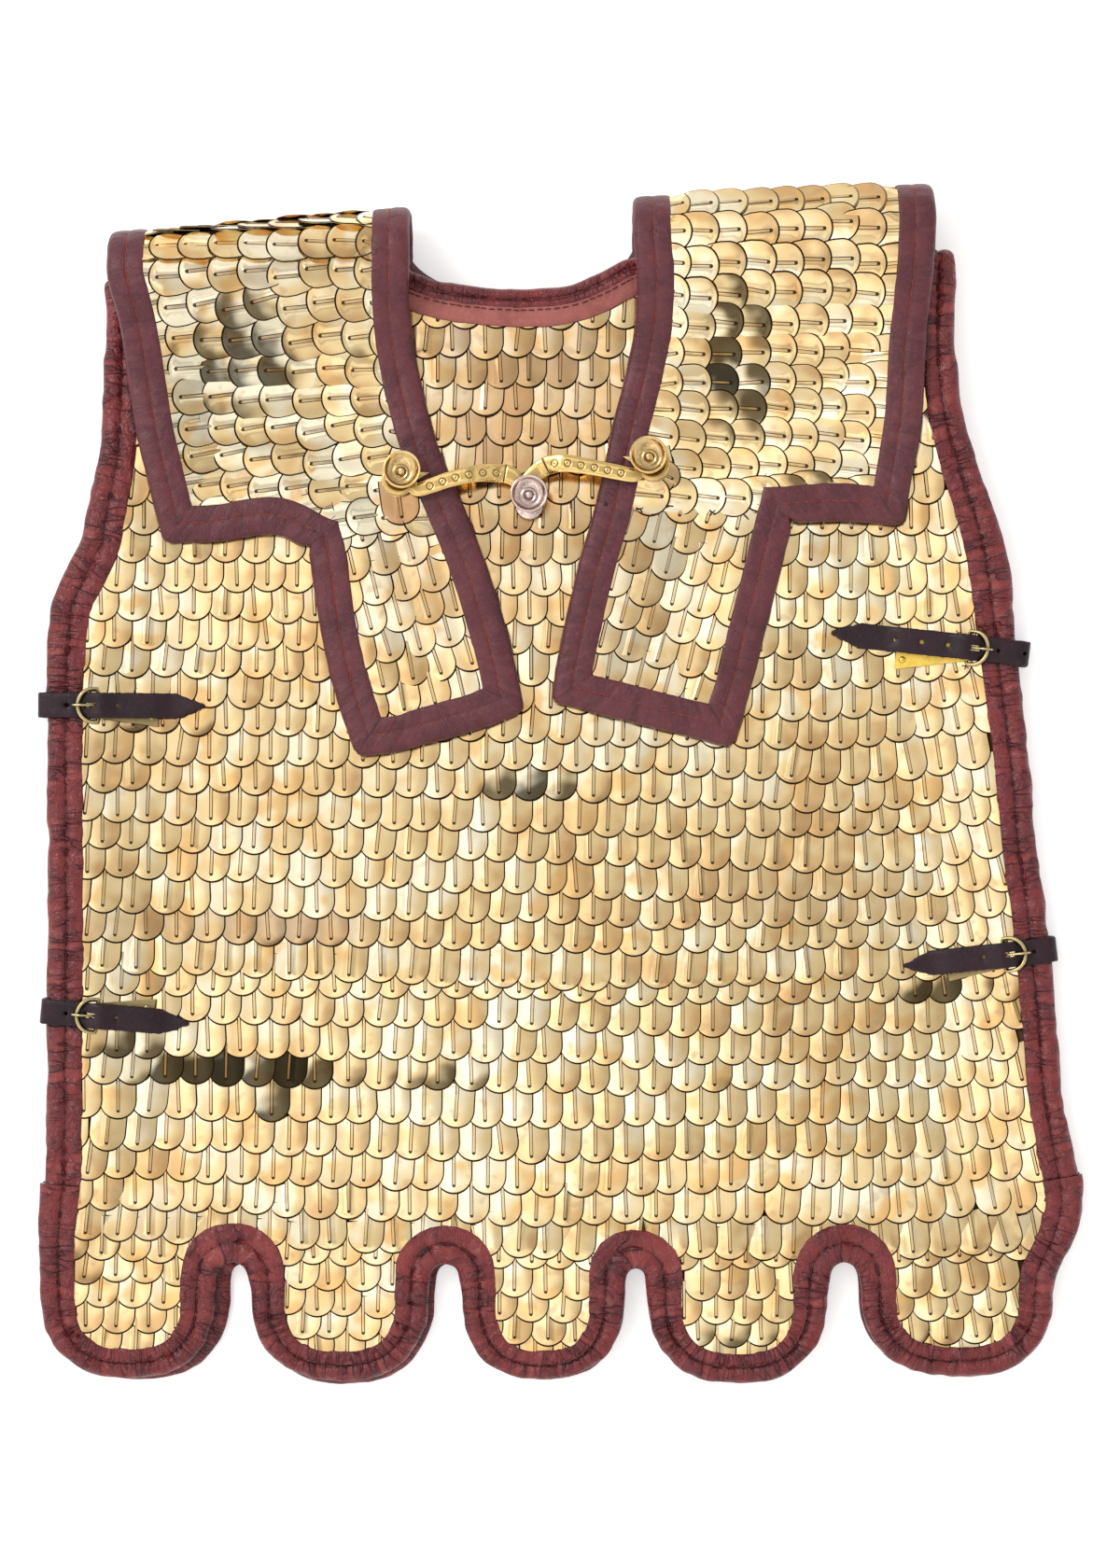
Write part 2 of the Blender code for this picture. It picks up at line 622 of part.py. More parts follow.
def body_bindings(label, back):
    """Side, hem and neck bindings of one panel. Behind, the padding is flat where it rests."""
    sides, neck, (hem_first, hem_last), widths = body_edges(back)
    place = outward(back_surface, -1) if back else outward(front_surface, 1)

    def inside_at(point):
        return FOLD_INSIDE if point[1] > BODY_FOLD_Y - 1e-6 else PAD_INSIDE

    def side_section(i):
        made = binding_section(widths[i], back, inside_at(sides.points[i]))
        if back and over_root(sides.points[i]):
            made[1] = (ROOT_REACH + 1.2, ROOT_ROOF)
        return made

    width = BACK_NECK_BINDING if back else NECK_ROLL
    last = len(sides.points) - 1
    strip(f"{label}_binding_left", sides, 0, hem_first, side_section, place, LEATHER_RED)
    strip(f"{label}_binding_hem", sides, hem_first, hem_last, side_section, place, LEATHER_RED)
    strip(f"{label}_binding_right", sides, hem_last, last, side_section, place, LEATHER_RED)
    strip(
        f"{label}_binding_neck", neck, 0, len(neck.points) - 1,
        lambda i: binding_section(width, back, inside_at(neck.points[i])), place, LEATHER_RED,
    )


def over_root(point):
    """Whether a station of the back's side edges lies over the root of a strap."""
    return any((r.x < 0) == (point[0] < 0) and abs(point[1] - r.y) < STOP_NARROW + 0.1 for r in STRAPS)


def neck_strip():
    """The flat leather strip sewn over the top row of scales, below the neck roll."""
    neck = body_edges(False)[1]
    inner = NECK_ROLL + GAP
    section = [
        (inner + NECK_STRIP_WIDTH, NECK_STRIP_TOP), (inner, NECK_STRIP_TOP),
        (inner, NECK_STRIP_FOOT), (inner + NECK_STRIP_WIDTH, NECK_STRIP_FOOT),
    ]
    flat = edge(neck.points[3:-3])
    place = outward(front_surface, 1)
    strip("front_neck_strip", flat, 0, len(flat.points) - 1, lambda i: section, place, LEATHER_PINK)


# ---------------------------------------------------------------- shoulder doublings


TAB_SEAM_LEFT, TAB_SEAM_RIGHT = 152.0, 168.0


def crossing(loop, v):
    """The level line at v across a loop, from its first crossing to its last."""
    ends = []
    for (x0, v0), (x1, v1) in zip(loop, np.roll(loop, -1, axis=0)):
        if (v0 > v) != (v1 > v):
            ends.append((x0 + (x1 - x0) * (v - v0) / (v1 - v0), v))
    return [min(ends), max(ends)]


def doubling(side):
    """Leather wall, shoulder scales, tab scales and six binding strips of one doubling."""
    left_side = side == "left"
    line = edge(doubling_chain(left_side), upright_ends=True)
    place = outward(doubling_surface, 1)
    leather, scales = moved_in(line, DOUBLING_BINDING - TUCK), moved_in(line, DOUBLING_BINDING + GAP)
    flap, corners = (LEFT_FLAP, LEFT_CORNERS) if left_side else (RIGHT_FLAP, RIGHT_CORNERS)
    first = next(i for i, p in enumerate(line.points) if np.allclose(p, on_doubling(flap[0].x, flap[0].y)))
    creases = [zigzag(leather, scales)]
    for v in DOUBLING_FOLD_ROWS:
        ends = [i for i, p in enumerate(line.points) if abs(p[1] - v) < 1e-6]
        creases.append([scales[ends[0]], scales[ends[1]]])
    for pair in (1, 2, 3):
        facing = [first + i for i, r in enumerate(flap) if r.pair == pair]
        if facing:
            creases.append([scales[facing[0]], scales[facing[1]]])
    seam_y = TAB_SEAM_LEFT if left_side else TAB_SEAM_RIGHT
    seam = [pattern_height(seam_y + d, 0.0) for d in (-GAP / 2, GAP / 2)]
    creases += [crossing(scales, v) for v in seam]
    grid = tiles([leather, scales], creases, [])
    wall(f"doubling_{side}", grid, tiles_within(grid, leather), place, -FACE, FACE, LEATHER_WALL)
    faces = tiles_within(grid, scales)
    heights = grid[0][faces].mean(1)[:, 1]
    upper, tab = faces[heights > seam[1]], faces[heights < seam[0]]
    wall(f"doubling_{side}_scales", grid, upper, place, SCALE_FOOT, SCALE_TOP, BRASS)
    wall(f"doubling_{side}_tab_scales", grid, tab, place, SCALE_FOOT, SCALE_TOP, BRASS)

    def section(i):
        return binding_section(DOUBLING_BINDING, flat=line.points[i][1] > DOUBLING_FOLD_ROWS[-1] - 1.0)

    stops = [first + i for i in corners]
    end = len(line.points) - 1
    if left_side:
        names = ("yoke_edge", "outer", "lower", "tab_side", "tab_end", "inner")
        stops = [0, 2, *stops, end]
    else:
        names = ("inner", "tab_end", "tab_side", "lower", "outer", "yoke_edge")
        stops = [0, *stops, end - 2, end]
    for name, start, stop in zip(names, stops, stops[1:]):
        strip(f"doubling_{side}_binding_{name}", line, start, stop, section, place, LEATHER_DARK)


# ---------------------------------------------------------------- hooks and studs


def stud_foot_height(row):
    """Underside of a stud: on its spurred plate over the flap's binding, or on the breast's scales."""
    laid = float(front_height(row.x, row.y))
    if row.name == "stud_breast":
        return laid + SCALE_TOP + GAP
    return laid + FLAP_OVER_FRONT + PAD_CREST + GAP + SPUR_PLATE + GAP


SPUR_PLATE = 1.0
STUD_PROFILE = table(
    "radius height",
    (0.0, 0.0), (8.4, 0.0), (8.4, 1.4), (5.6, 2.2), (NECK_RADIUS, 3.2), (NECK_RADIUS, 8.0),
    (6.6, 9.8), (9.6, 12.2), (11.2, 14.4), (10.2, 14.4), (8.2, 11.6), (4.2, 10.4), (2.6, 12.2), (0.0, 12.8),
)
BREAST_EXTRA = 6.2


def stud(row):
    """A turned spool with a cupped head. Its neck leans, its foot and its rim stay level."""
    foot = stud_foot_height(row)
    taller = BREAST_EXTRA if row.name == "stud_breast" else 0.0
    points, rings = [], []
    for spot in STUD_PROFILE:
        height = spot.height + (taller if spot.height > 4.0 else 0.0)
        lean = max(0.0, height - 1.4)
        middle = (row.x + row.lean_x * lean, row.y + row.lean_y * lean)
        if spot.radius == 0.0:
            rings.append([len(points)])
            points.append((*middle, foot + height))
            continue
        rings.append(list(range(len(points), len(points) + STUD_SEGMENTS)))
        for k in range(STUD_SEGMENTS):
            angle = 2 * math.pi * k / STUD_SEGMENTS
            points.append((
                middle[0] + spot.radius * math.cos(angle), middle[1] + spot.radius * math.sin(angle), foot + height,
            ))
    faces = []
    for low, high in zip(rings, rings[1:]):
        for k in range(STUD_SEGMENTS):
            after = (k + 1) % STUD_SEGMENTS
            if len(low) == 1:
                faces.append((low[0], high[after], high[k]))
            elif len(high) == 1:
                faces.append((low[k], low[after], high[0]))
            else:
                faces.append((low[k], low[after], high[after], high[k]))
    add_object(row.name, points, faces, BRASS)


def flat_plate(name, outline, foot, top, finish, holes=()):
    grid = tiles([outline, *holes], [], [])
    faces = tiles_within(grid, outline, holes)
    return wall(name, grid, faces, lambda x, y, z: np.array((x, y, z)), foot, top, finish)


def spur_plate(row):
    """The leaf-shaped plate under an outer stud, with a point that reaches over the binding."""
    foot = stud_foot_height(row) - GAP - SPUR_PLATE
    tip = np.array((row.spur_x, row.spur_y))
    aim = math.atan2(tip[1], tip[0])
    outline = []
    for k in range(13):
        angle = aim + math.radians(24) + math.radians(312) * k / 12
        outline.append((row.x + 9.4 * math.cos(angle), row.y + 9.4 * math.sin(angle)))
    outline.append((row.x + tip[0], row.y + tip[1]))
    flat_plate(f"{row.name}_plate", outline, foot, foot + SPUR_PLATE, BRASS_DARK)


def hook_outline(rows, centre):
    """The hook in plan: round its ring, along one side of the bar to its tip, and back along the other."""
    line = np.array([(r.x, r.y) for r in rows], float)
    half = np.array([r.half_width for r in rows])
    steps = np.gradient(line, axis=0)
    across = np.stack([-steps[:, 1], steps[:, 0]], 1) / np.hypot(*steps.T)[:, None]
    one, other = line + across * half[:, None], line - across * half[:, None]
    start = math.atan2(*(other[0] - centre)[::-1])
    end = math.atan2(*(one[0] - centre)[::-1])
    sweep = (start - end) % (2 * math.pi)
    ring = [
        centre + RING_OUTER * np.array((math.cos(end + sweep * k / 12), math.sin(end + sweep * k / 12)))
        for k in range(1, 12)
    ]
    return [*other, *one[::-1], *ring]


def hook(name, rows, stud_row, low_height):
    """An S-shaped hook: a ring round its stud's neck, a bar, and an end that catches the breast stud."""
    foot = stud_foot_height(stud_row)
    high = foot + RING_OVER_FOOT
    lean = RING_OVER_FOOT - 1.4
    centre = np.array((stud_row.x + stud_row.lean_x * lean, stud_row.y + stud_row.lean_y * lean))
    outline = hook_outline(rows, centre)
    hole = [
        centre + RING_INNER * np.array((math.cos(math.pi * k / 6), math.sin(math.pi * k / 6))) for k in range(12)
    ]
    reach = [math.hypot(r.x - centre[0], r.y - centre[1]) for r in rows]
    bends = [(r, reach[i]) for i, r in enumerate(rows) if 0 < r.low]
    start, end = reach[len(rows) - len(bends) - 1], bends[1][1]

    def place(x, y, z):
        distance = math.hypot(x - centre[0], y - centre[1])
        drop = smooth(distance, start, end) * (high - low_height)
        return np.array((x, y, high - drop + z))

    cross = [
        [centre + r * np.array((math.cos(a), math.sin(a))) for a in hook_fan(rows, centre)]
        for r in np.linspace(start, end, 5)
    ]
    grid = tiles([outline, hole], cross, [])
    faces = tiles_within(grid, outline, [hole])
    made = wall(name, grid, faces, place, -HOOK_HALF_DEPTH, HOOK_HALF_DEPTH, BRASS)
    move_origin(made, (*centre, high))
    return made


def hook_fan(rows, centre):
    """Angles that span the bar where it comes down."""
    middle = next(r for r in rows if r.low > 0)
    aim = math.atan2(middle.y - centre[1], middle.x - centre[0])
    return [aim - 0.2, aim, aim + 0.2]


def move_origin(made, spot):
    """Put an object's origin on its joint's axis and leave its shape where it is."""
    shift = (np.array(spot) - MIDDLE) * MM
    for vertex in made.data.vertices:
        vertex.co = np.array(vertex.co) - shift
    made.location = tuple(shift)


# ---------------------------------------------------------------- straps and buckles


class Route:
    """A line in an upright plane, with mitred normals, for strips that keep their thickness."""

    def __init__(self, points):
        self.points = np.array(points, float)
        steps = np.diff(self.points, axis=0)
        lengths = np.hypot(*steps.T)
        self.at = np.concatenate([[0.0], np.cumsum(lengths)])
        sides = np.stack([-steps[:, 1], steps[:, 0]], 1) / lengths[:, None]
        before, after = np.vstack([sides[:1], sides]), np.vstack([sides, sides[-1:]])
        self.normals = (before + after) / (1 + (before * after).sum(1))[:, None]

    def place(self, s, distance):
        offset = self.points + distance * self.normals
        return np.array([np.interp(s, self.at, offset[:, 0]), np.interp(s, self.at, offset[:, 1])])

    def run_at(self, u):
        """Length along the route where it last reaches this distance from the edge."""
        return float(np.interp(u, self.points[-8:, 0], self.at[-8:]))


class Frame:
    """A strap's own directions: along the strap from the garment's edge, across it, and up."""

    def __init__(self, row):
        self.origin = np.array((row.x, row.y))
        self.along = np.array((row.along_x, row.along_y))
        self.across = np.array((-row.along_y, row.along_x)) * math.copysign(1.0, row.along_x)
        ends = [float(front_height(*self.spot(40.0, w))) for w in (-STRAP_WIDTH / 2, STRAP_WIDTH / 2)]
        self.tilt = (ends[1] - ends[0]) / STRAP_WIDTH

    def spot(self, u, w):
        return self.origin + u * self.along + w * self.across

    def point(self, u, w, z):
        return np.array((*self.spot(u, w), z + self.tilt * w))

    def laid(self, u):
        """Highest level of the front panel's leather across the strap, this far from the edge."""
        return max(float(front_height(*self.spot(u, w))) - self.tilt * w for w in (-16.0, -8.0, 0.0, 8.0))


def strap_route(row, frame):
    """From its root under the back's edge, round both edges, through the buckle and over the scales."""
    half = STRAP_THICK / 2
    root = half + float(back_height(row.y)) - FLOOR_MID + 0.1
    crest = frame.laid(4.0) + PAD_CREST + GAP + half
    out = -(row.slack - half)
    wire, bar = frame.laid(row.wire), frame.laid(row.bar)
    plate_end = row.bar + row.plate
    return Route([
        (ROOT_REACH, root), (0.6, root), (out + 1.0, root + 0.6), (out, root + 2.2),
        (out, crest - 2.8), (out + 1.0, crest - 0.8), (out + 3.0, crest + 0.1), (row.wire - 4.0, crest + 0.1),
        (row.wire + 2.2, wire + STRAP_UNDER_WIRE),
        (row.bar - 1.5, bar + STRAP_OVER_BAR), (row.bar + 3.5, bar + STRAP_OVER_BAR),
        (row.bar + 12.0, frame.laid(row.bar + 12.0) + STRAP_OVER_RIVETS),
        (plate_end - 2.0, frame.laid(plate_end - 2.0) + STRAP_OVER_RIVETS),
        (plate_end + 8.0, frame.laid(plate_end + 8.0) + SCALE_TOP + 2 * GAP + half),
        (row.reach, frame.laid(row.reach) + SCALE_TOP + 2 * GAP + half),
    ])


STRAP_UNDER_WIRE = PAD_LIP + GAP + STRAP_THICK / 2 + 0.5
BAR_HEIGHT = SCALE_TOP + GAP + PLATE_THICK + GAP + WIRE
PLATE_BEND = WIRE + GAP + PLATE_THICK / 2
STRAP_OVER_BAR = BAR_HEIGHT + PLATE_BEND + PLATE_THICK / 2 + 2 * GAP + STRAP_THICK / 2
RIVET_TOP = SCALE_TOP + GAP + 2 * PLATE_THICK + GAP + 1.0
STRAP_OVER_RIVETS = RIVET_TOP + GAP + STRAP_THICK / 2
WIRE_HEIGHT = STRAP_UNDER_WIRE + STRAP_THICK / 2 + GAP + WIRE + 0.3


def strap(row):
    """The strap: square at its root, pointed at its tip, with a row of punched holes."""
    frame = Frame(row)
    route = strap_route(row, frame)
    end, half = float(route.at[-1]), STRAP_WIDTH / 2
    point_from = end - 17.0
    outline = [(0.0, -half), (point_from, -half), (end - 6.0, -2.8), (end, -0.9)]
    outline += [(end, 0.9), (end - 6.0, 2.8), (point_from, half), (0.0, half)]
    prong_at = route.run_at(row.bar - 3.0)
    holes = [slot_outline(route.run_at(row.wire + 3.8), route.run_at(row.bar - 0.4), PRONG_SLOT)]
    for step in (*range(-row.before, 0), *range(1, row.past + 1)):
        spot = prong_at + step * HOLE_PITCH
        holes.append([
            (spot + HOLE_RADIUS * math.cos(math.pi * k / 3), HOLE_RADIUS * math.sin(math.pi * k / 3))
            for k in range(6)
        ])
    rows = [[(s, -40.0), (s, 40.0)] for s in route.at[1:-1]]
    grid = tiles([outline, *holes], rows, [])
    faces = tiles_within(grid, outline, holes)

    def place(s, w, distance):
        u, z = route.place(s, distance)
        return frame.point(u, w, z)

    wall(f"strap_{row.name}", grid, faces, place, -STRAP_THICK / 2, STRAP_THICK / 2, LEATHER_STRAP)


PRONG_SLOT = 1.6


def slot_outline(start, end, half_wide):
    return [(start, -half_wide), (end, -half_wide), (end, half_wide), (start, half_wide)]


# Half of a buckle's D, as shares of its depth and its half width.
D_CURVE = table("depth half", (0, 1), (0.42, 1), (0.7, 0.96), (0.9, 0.78), (0.985, 0.42))


def buckle_frame(row):
    """A D of round wire: the bar under the strap, the curve over it."""
    frame = Frame(row)
    bar_z = frame.laid(row.bar) + BAR_HEIGHT
    wire_z = frame.laid(row.wire) + WIRE_HEIGHT
    depth = row.bar - row.wire
    shape = [(r.depth, r.half) for r in D_CURVE]
    shape = shape + [(1.0, 0.0)] + [(share, -half) for share, half in reversed(shape)] + [(0.0, 0.0)]
    ring = []
    for share, half in shape:
        climb = min(1.0, share / 0.8)
        ring.append(frame.point(row.bar - depth * share, BUCKLE_HALF * half, bar_z + (wire_z - bar_z) * climb))
    slope = np.cross(ring[0] - ring[-1], ring[5] - ring[0])
    tube(f"buckle_{row.name}", ring, slope / np.linalg.norm(slope))


def tube(name, ring, upright):
    """A closed round wire through points that lie in one plane."""
    sides, count = 6, len(ring)
    points, faces = [], []
    for i, spot in enumerate(ring):
        along = ring[(i + 1) % count] - ring[i - 1]
        outer = np.cross(along / np.linalg.norm(along), upright)
        for k in range(sides):
            angle = 2 * math.pi * (k + 0.5) / sides
            points.append(spot + WIRE * (math.cos(angle) * outer + math.sin(angle) * upright))
    for i in range(count):
        for k in range(sides):
            a, b = i * sides + k, i * sides + (k + 1) % sides
            c, d = ((i + 1) % count) * sides + (k + 1) % sides, ((i + 1) % count) * sides + k
            faces.append((a, b, c, d))
    add_object(name, points, faces, BRASS_DARK)


def prong(row):
    """A flat tongue with an eye round the bar, up through the strap's hole and onto the wire."""
    frame = Frame(row)
    bar_z = frame.laid(row.bar) + BAR_HEIGHT
    wire_z = frame.laid(row.wire) + WIRE_HEIGHT
    rest = wire_z + WIRE + GAP + 0.7
    outer, inner = WIRE + GAP + 0.9, WIRE + GAP
    outline = [
        (row.bar + outer * math.cos(math.radians(a)), bar_z + outer * math.sin(math.radians(a)))
        for a in (-130, -90, -50, -10, 30, 70, 105)
    ]
    outline += [
        (row.wire + 2.6, rest + 0.1), (row.wire - 2.2, rest + 0.5), (row.wire - 2.6, rest - 0.4),
        (row.wire + 1.9, rest - 0.75), (row.bar - 3.6, bar_z + 0.6),
    ]
    hole = [
        (row.bar + inner * math.cos(math.radians(a)), bar_z + inner * math.sin(math.radians(a)))
        for a in range(0, 360, 60)
    ]
    grid = tiles([outline, hole], [], [])
    faces = tiles_within(grid, outline, [hole])
    wall(f"prong_{row.name}", grid, faces, lambda u, z, w: frame.point(u, w, z), -0.9, 0.9, BRASS_DARK)


def buckle_plate(row):
    """A strip folded round the bar and riveted to the front, with a notch for the prong's eye."""
    frame = Frame(row)
    bar_z = frame.laid(row.bar) + BAR_HEIGHT
    end = row.bar + row.plate
    bottom, top = SCALE_TOP + GAP + PLATE_THICK / 2, SCALE_TOP + 2 * GAP + 1.5 * PLATE_THICK

    def leaf(u, height):
        return u, frame.laid(u) + height

    bend = [
        (row.bar - PLATE_BEND * math.sin(math.radians(a)), bar_z - PLATE_BEND * math.cos(math.radians(a)))
        for a in range(0, 181, 36)
    ]
    route = Route([leaf(end, bottom), leaf(row.bar + 14, bottom), *bend, leaf(row.bar + 9, top), leaf(end, top)])
    length = float(route.at[-1])
    fold_mid = (route.at[2] + route.at[7]) / 2
    taper = 7.3
    wide = 9.5

    def edge(s, side):
        away = min(1.0, abs(s - fold_mid) / fold_mid)
        return s, side * (taper + (wide - taper) * away) + row.drift * away

    stops = [0.0, *route.at[1:-1], length]
    outline = [edge(s, -1) for s in stops] + [edge(s, 1) for s in reversed(stops)]
    notch = slot_outline(fold_mid - 6.2, fold_mid + 6.2, 1.5)
    rows = [[(s, -60.0), (s, 60.0)] for s in route.at[1:-1]]
    grid = tiles([outline, notch], rows, [])
    faces = tiles_within(grid, outline, [notch])

    def place(s, w, distance):
        u, z = route.place(s, distance)
        return frame.point(u, w, z)

    made = wall(f"buckle_plate_{row.name}", grid, faces, place, -PLATE_THICK / 2, PLATE_THICK / 2, BRASS)
    for index, (share, across) in enumerate(((0.90, -0.45), (0.86, 0.45))):
        u = row.bar + row.plate * share
        w = across * wide + row.drift * share
        rivet = rivet_cutter(frame, u, w, frame.laid(u))
        joint = made.modifiers.new(f"rivet_{index}", "BOOLEAN")
        joint.operation = "UNION"
        joint.object = rivet


def rivet_cutter(frame, u, w, laid):
    """A domed rivet through both leaves of a plate, joined to the plate by its Boolean."""
    rings = [(1.6, SCALE_TOP + GAP + 0.1), (1.6, SCALE_TOP + 2 * GAP + 2 * PLATE_THICK + 0.1)]
    rings += [(2.0, rings[1][1] + 0.02), (1.2, RIVET_TOP - 0.1)]
    points, sides = [], 8
    for radius, height in rings:
        for k in range(sides):
            angle = 2 * math.pi * k / sides
            points.append(frame.point(u + radius * math.cos(angle), w + radius * math.sin(angle), laid + height))
    faces = [tuple(range(sides))[::-1], tuple(range(len(points) - sides, len(points)))]
    for i in range(len(rings) - 1):
        for k in range(sides):
            a, b = i * sides + k, i * sides + (k + 1) % sides
            faces.append((a, b, b + sides, a + sides))
    made = add_object("rivet", points, faces, BRASS_DARK)
    made.hide_render = True
    made.display_type = "WIRE"
    return made


def main():
    for old in list(bpy.data.objects):
        bpy.data.objects.remove(old)
    for label, back in (("front", False), ("back", True)):
        body_panel(label, back)
        body_bindings(label, back)
    neck_strip()
    for side in ("left", "right"):
        doubling(side)
    for row in STUDS:
        stud(row)
    for row in STUDS[:2]:
        spur_plate(row)
    hook("hook_left", LEFT_HOOK, STUDS[0], LEFT_HOOK_LOW)
    hook("hook_right", RIGHT_HOOK, STUDS[1], RIGHT_HOOK_LOW)
    for row in STRAPS:
        strap(row)
        buckle_frame(row)
        prong(row)
        buckle_plate(row)


main()
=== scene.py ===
"""Looks of the scale armour: rows of brass scales on a leather shirt, padded bindings, hooks, studs and straps.

The laid-out surfaces and the tables of sizes are those of the CAD part. Sizes are in millimetres and become
metres where meshes are made. +X is the front's right-hand side as seen and +Y runs from the hem to the shoulders.
Places on cloth are given as x and q: q is the height y on the laid panel, and goes on as length past a fold.
"""

import math
from collections import namedtuple

import bpy
import numpy as np
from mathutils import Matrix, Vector
from mathutils.geometry import delaunay_2d_cdt


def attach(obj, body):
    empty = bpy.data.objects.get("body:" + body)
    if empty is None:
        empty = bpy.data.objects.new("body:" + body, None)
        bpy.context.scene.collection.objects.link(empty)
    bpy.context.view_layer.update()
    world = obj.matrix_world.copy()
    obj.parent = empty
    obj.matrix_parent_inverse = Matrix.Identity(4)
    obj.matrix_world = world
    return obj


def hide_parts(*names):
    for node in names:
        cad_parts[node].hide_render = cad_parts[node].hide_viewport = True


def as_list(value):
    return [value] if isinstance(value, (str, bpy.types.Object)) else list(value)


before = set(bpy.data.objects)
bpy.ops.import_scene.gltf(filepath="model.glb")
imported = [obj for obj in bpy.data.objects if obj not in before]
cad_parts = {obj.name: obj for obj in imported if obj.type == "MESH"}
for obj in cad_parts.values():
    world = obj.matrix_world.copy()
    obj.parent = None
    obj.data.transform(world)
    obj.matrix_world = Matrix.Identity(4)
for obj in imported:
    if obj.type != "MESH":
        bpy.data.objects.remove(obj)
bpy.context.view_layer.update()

MM = 0.001
# The part's middle, in its own millimetres.
MIDDLE = np.array((0.08, -4.22, 0.0))


def table(columns, *rows):
    """Rows of numbers with named columns."""
    row = namedtuple("row", columns)
    return [row(*values) for values in rows]


# ---------------------------------------------------------------- sizes shared with the part

LEATHER = 2.0
GAP = 0.3
FACE = LEATHER / 2
SCALE_TOP = 3.9
PAD_INSIDE = 3.5
PAD_CREST = 4.8
PAD_LIP = 4.3
TUCK = 7.0
NECK_ROLL = 12.0
NECK_STRIP_WIDTH = 10.2
DOUBLING_BINDING = 22.0
NECK_STRIP_TOP = SCALE_TOP + GAP + 1.2
FLOOR_MID = SCALE_TOP
BACK_RISE = PAD_INSIDE + GAP + SCALE_TOP
FRONT_OVER_BACK = 2 * PAD_INSIDE + 0.6
FRONT_SAG = 5.0
HEM_SAG_Y = -291.5
FLAP_OVER_FRONT = NECK_STRIP_TOP + GAP + PAD_INSIDE
FLAP_SAG = 1.9
BODY_FOLD = FRONT_OVER_BACK / 2
BODY_FOLD_Y = 293.5
DOUBLING_FOLD = 22.0
DOUBLING_FOLD_Y = 301.2
FLAP_RISE = 66.0
YOKE_EDGE_Y = 168.0
CENTRE_BACK_X = -20.0

BACK_STEP = table("y share", (60, 0), (90, 0.2), (130, 0.8), (160, 1))
BODY_SHOULDER = table("x rise", (-320, -4), (-95, 16), (-20, 22.5), (55, 26), (290, 16))
DOUBLING_SHOULDER = table("x rise", (-300, -2.8), (-88, 15.4), (42, 21), (260, 30.7))
LEFT_EDGE = table(
    "y x",
    (262, -272.5), (225, -274), (195, -276.5), (160, -284), (145, -287.5), (130, -295), (110, -304.5),
    (90, -307), (60, -308.5), (10, -308.5), (-60, -308), (-170, -308.5), (-235, -309.5), (-270, -312.5),
    (-300, -313),
)
RIGHT_EDGE = table(
    "y x",
    (262, 238), (225, 242), (195, 250), (160, 262.5), (130, 270), (90, 274.5), (60, 277.5), (10, 283.5),
    (-40, 288), (-75, 293), (-150, 300.5), (-185, 303), (-220, 309), (-255, 314), (-280, 308), (-300, 299),
)
LOBE_TOP = -300.0
LOBE_POWER = 2.5
HEM = table(
    "middle half_width bottom back_shift back_drop",
    (-259.5, 53.5, -360, 8, 2),
    (-132, 55, -361.5, 3, 3.5),
    (-10, 50, -361.5, 1, 1),
    (107.5, 55.5, -363, 0, 0),
    (240, 59, -359, -1, 0),
)
FRONT_NECK = table(
    "x y", (47, 315), (38, 312), (24, 304.5), (4, 297), (-20, 295), (-45, 296), (-68, 299), (-82, 303), (-90, 306.5),
)
BACK_NECK = table("x y", (47, 314.5), (41, 306), (27, 295), (6, 286), (-20, 283), (-48, 285), (-70, 291), (-90, 305))
NECK_RIGHT_X, NECK_LEFT_X = 47.0, -90.0
LEFT_FLAP = table(
    "x y",
    (-267.5, 297), (-261.5, 272), (-258, 242.5), (-253, 209), (-244.5, 172), (-237, 141.5),
    (-204, 143), (-172, 147), (-151, 139), (-149, 130), (-143.5, 90), (-137, 60),
    (-122.5, 14), (-98, 17), (-73, 23.5), (-46, 31.5), (-20.5, 41), (-26.5, 70),
    (-31.5, 90), (-43.5, 130), (-55.5, 160), (-73, 202), (-81, 230), (-87, 260), (-89, 285),
)
RIGHT_FLAP = table(
    "x y",
    (46, 298), (45, 272), (40, 245), (33, 217), (20.3, 160), (11.5, 130), (0.3, 80),
    (-5.5, 47), (27, 39), (52, 32.5), (78, 26), (105, 19.5), (117, 60), (124, 90),
    (134, 130), (137.2, 143), (140, 154), (172, 155), (206, 152), (212.5, 187), (217, 217), (219, 252),
    (222, 298),
)
LEFT_CORNERS, RIGHT_CORNERS = (5, 8, 12, 16), (7, 11, 16, 18)
LEFT_YOKE_NECK = table("x past", (-88.5, 3), (-80, 11), (-66, 19), (-46, 31), (CENTRE_BACK_X - GAP / 2, 38))
RIGHT_YOKE_NECK = table("x past", (CENTRE_BACK_X + GAP / 2, 38), (6, 35), (28, 21), (38, 11), (44, 3))
LEFT_HOOK = table(
    "x y half_width low",
    (-84.5, 173.2, 4.0, 0), (-76, 175.6, 4.5, 0), (-66.6, 178.9, 4.7, 0), (-55.4, 181.7, 4.9, 0),
    (-44.2, 183.6, 5.3, 0.3), (-33, 183.5, 5.6, 0.8), (-28.5, 182.0, 5.4, 1), (-24.5, 179.0, 4.6, 1),
    (-18.2, 176.8, 3.3, 1), (-12.0, 173.8, 2.9, 1), (-9.8, 168.0, 2.4, 1), (-10.6, 165.0, 2.0, 1),
)
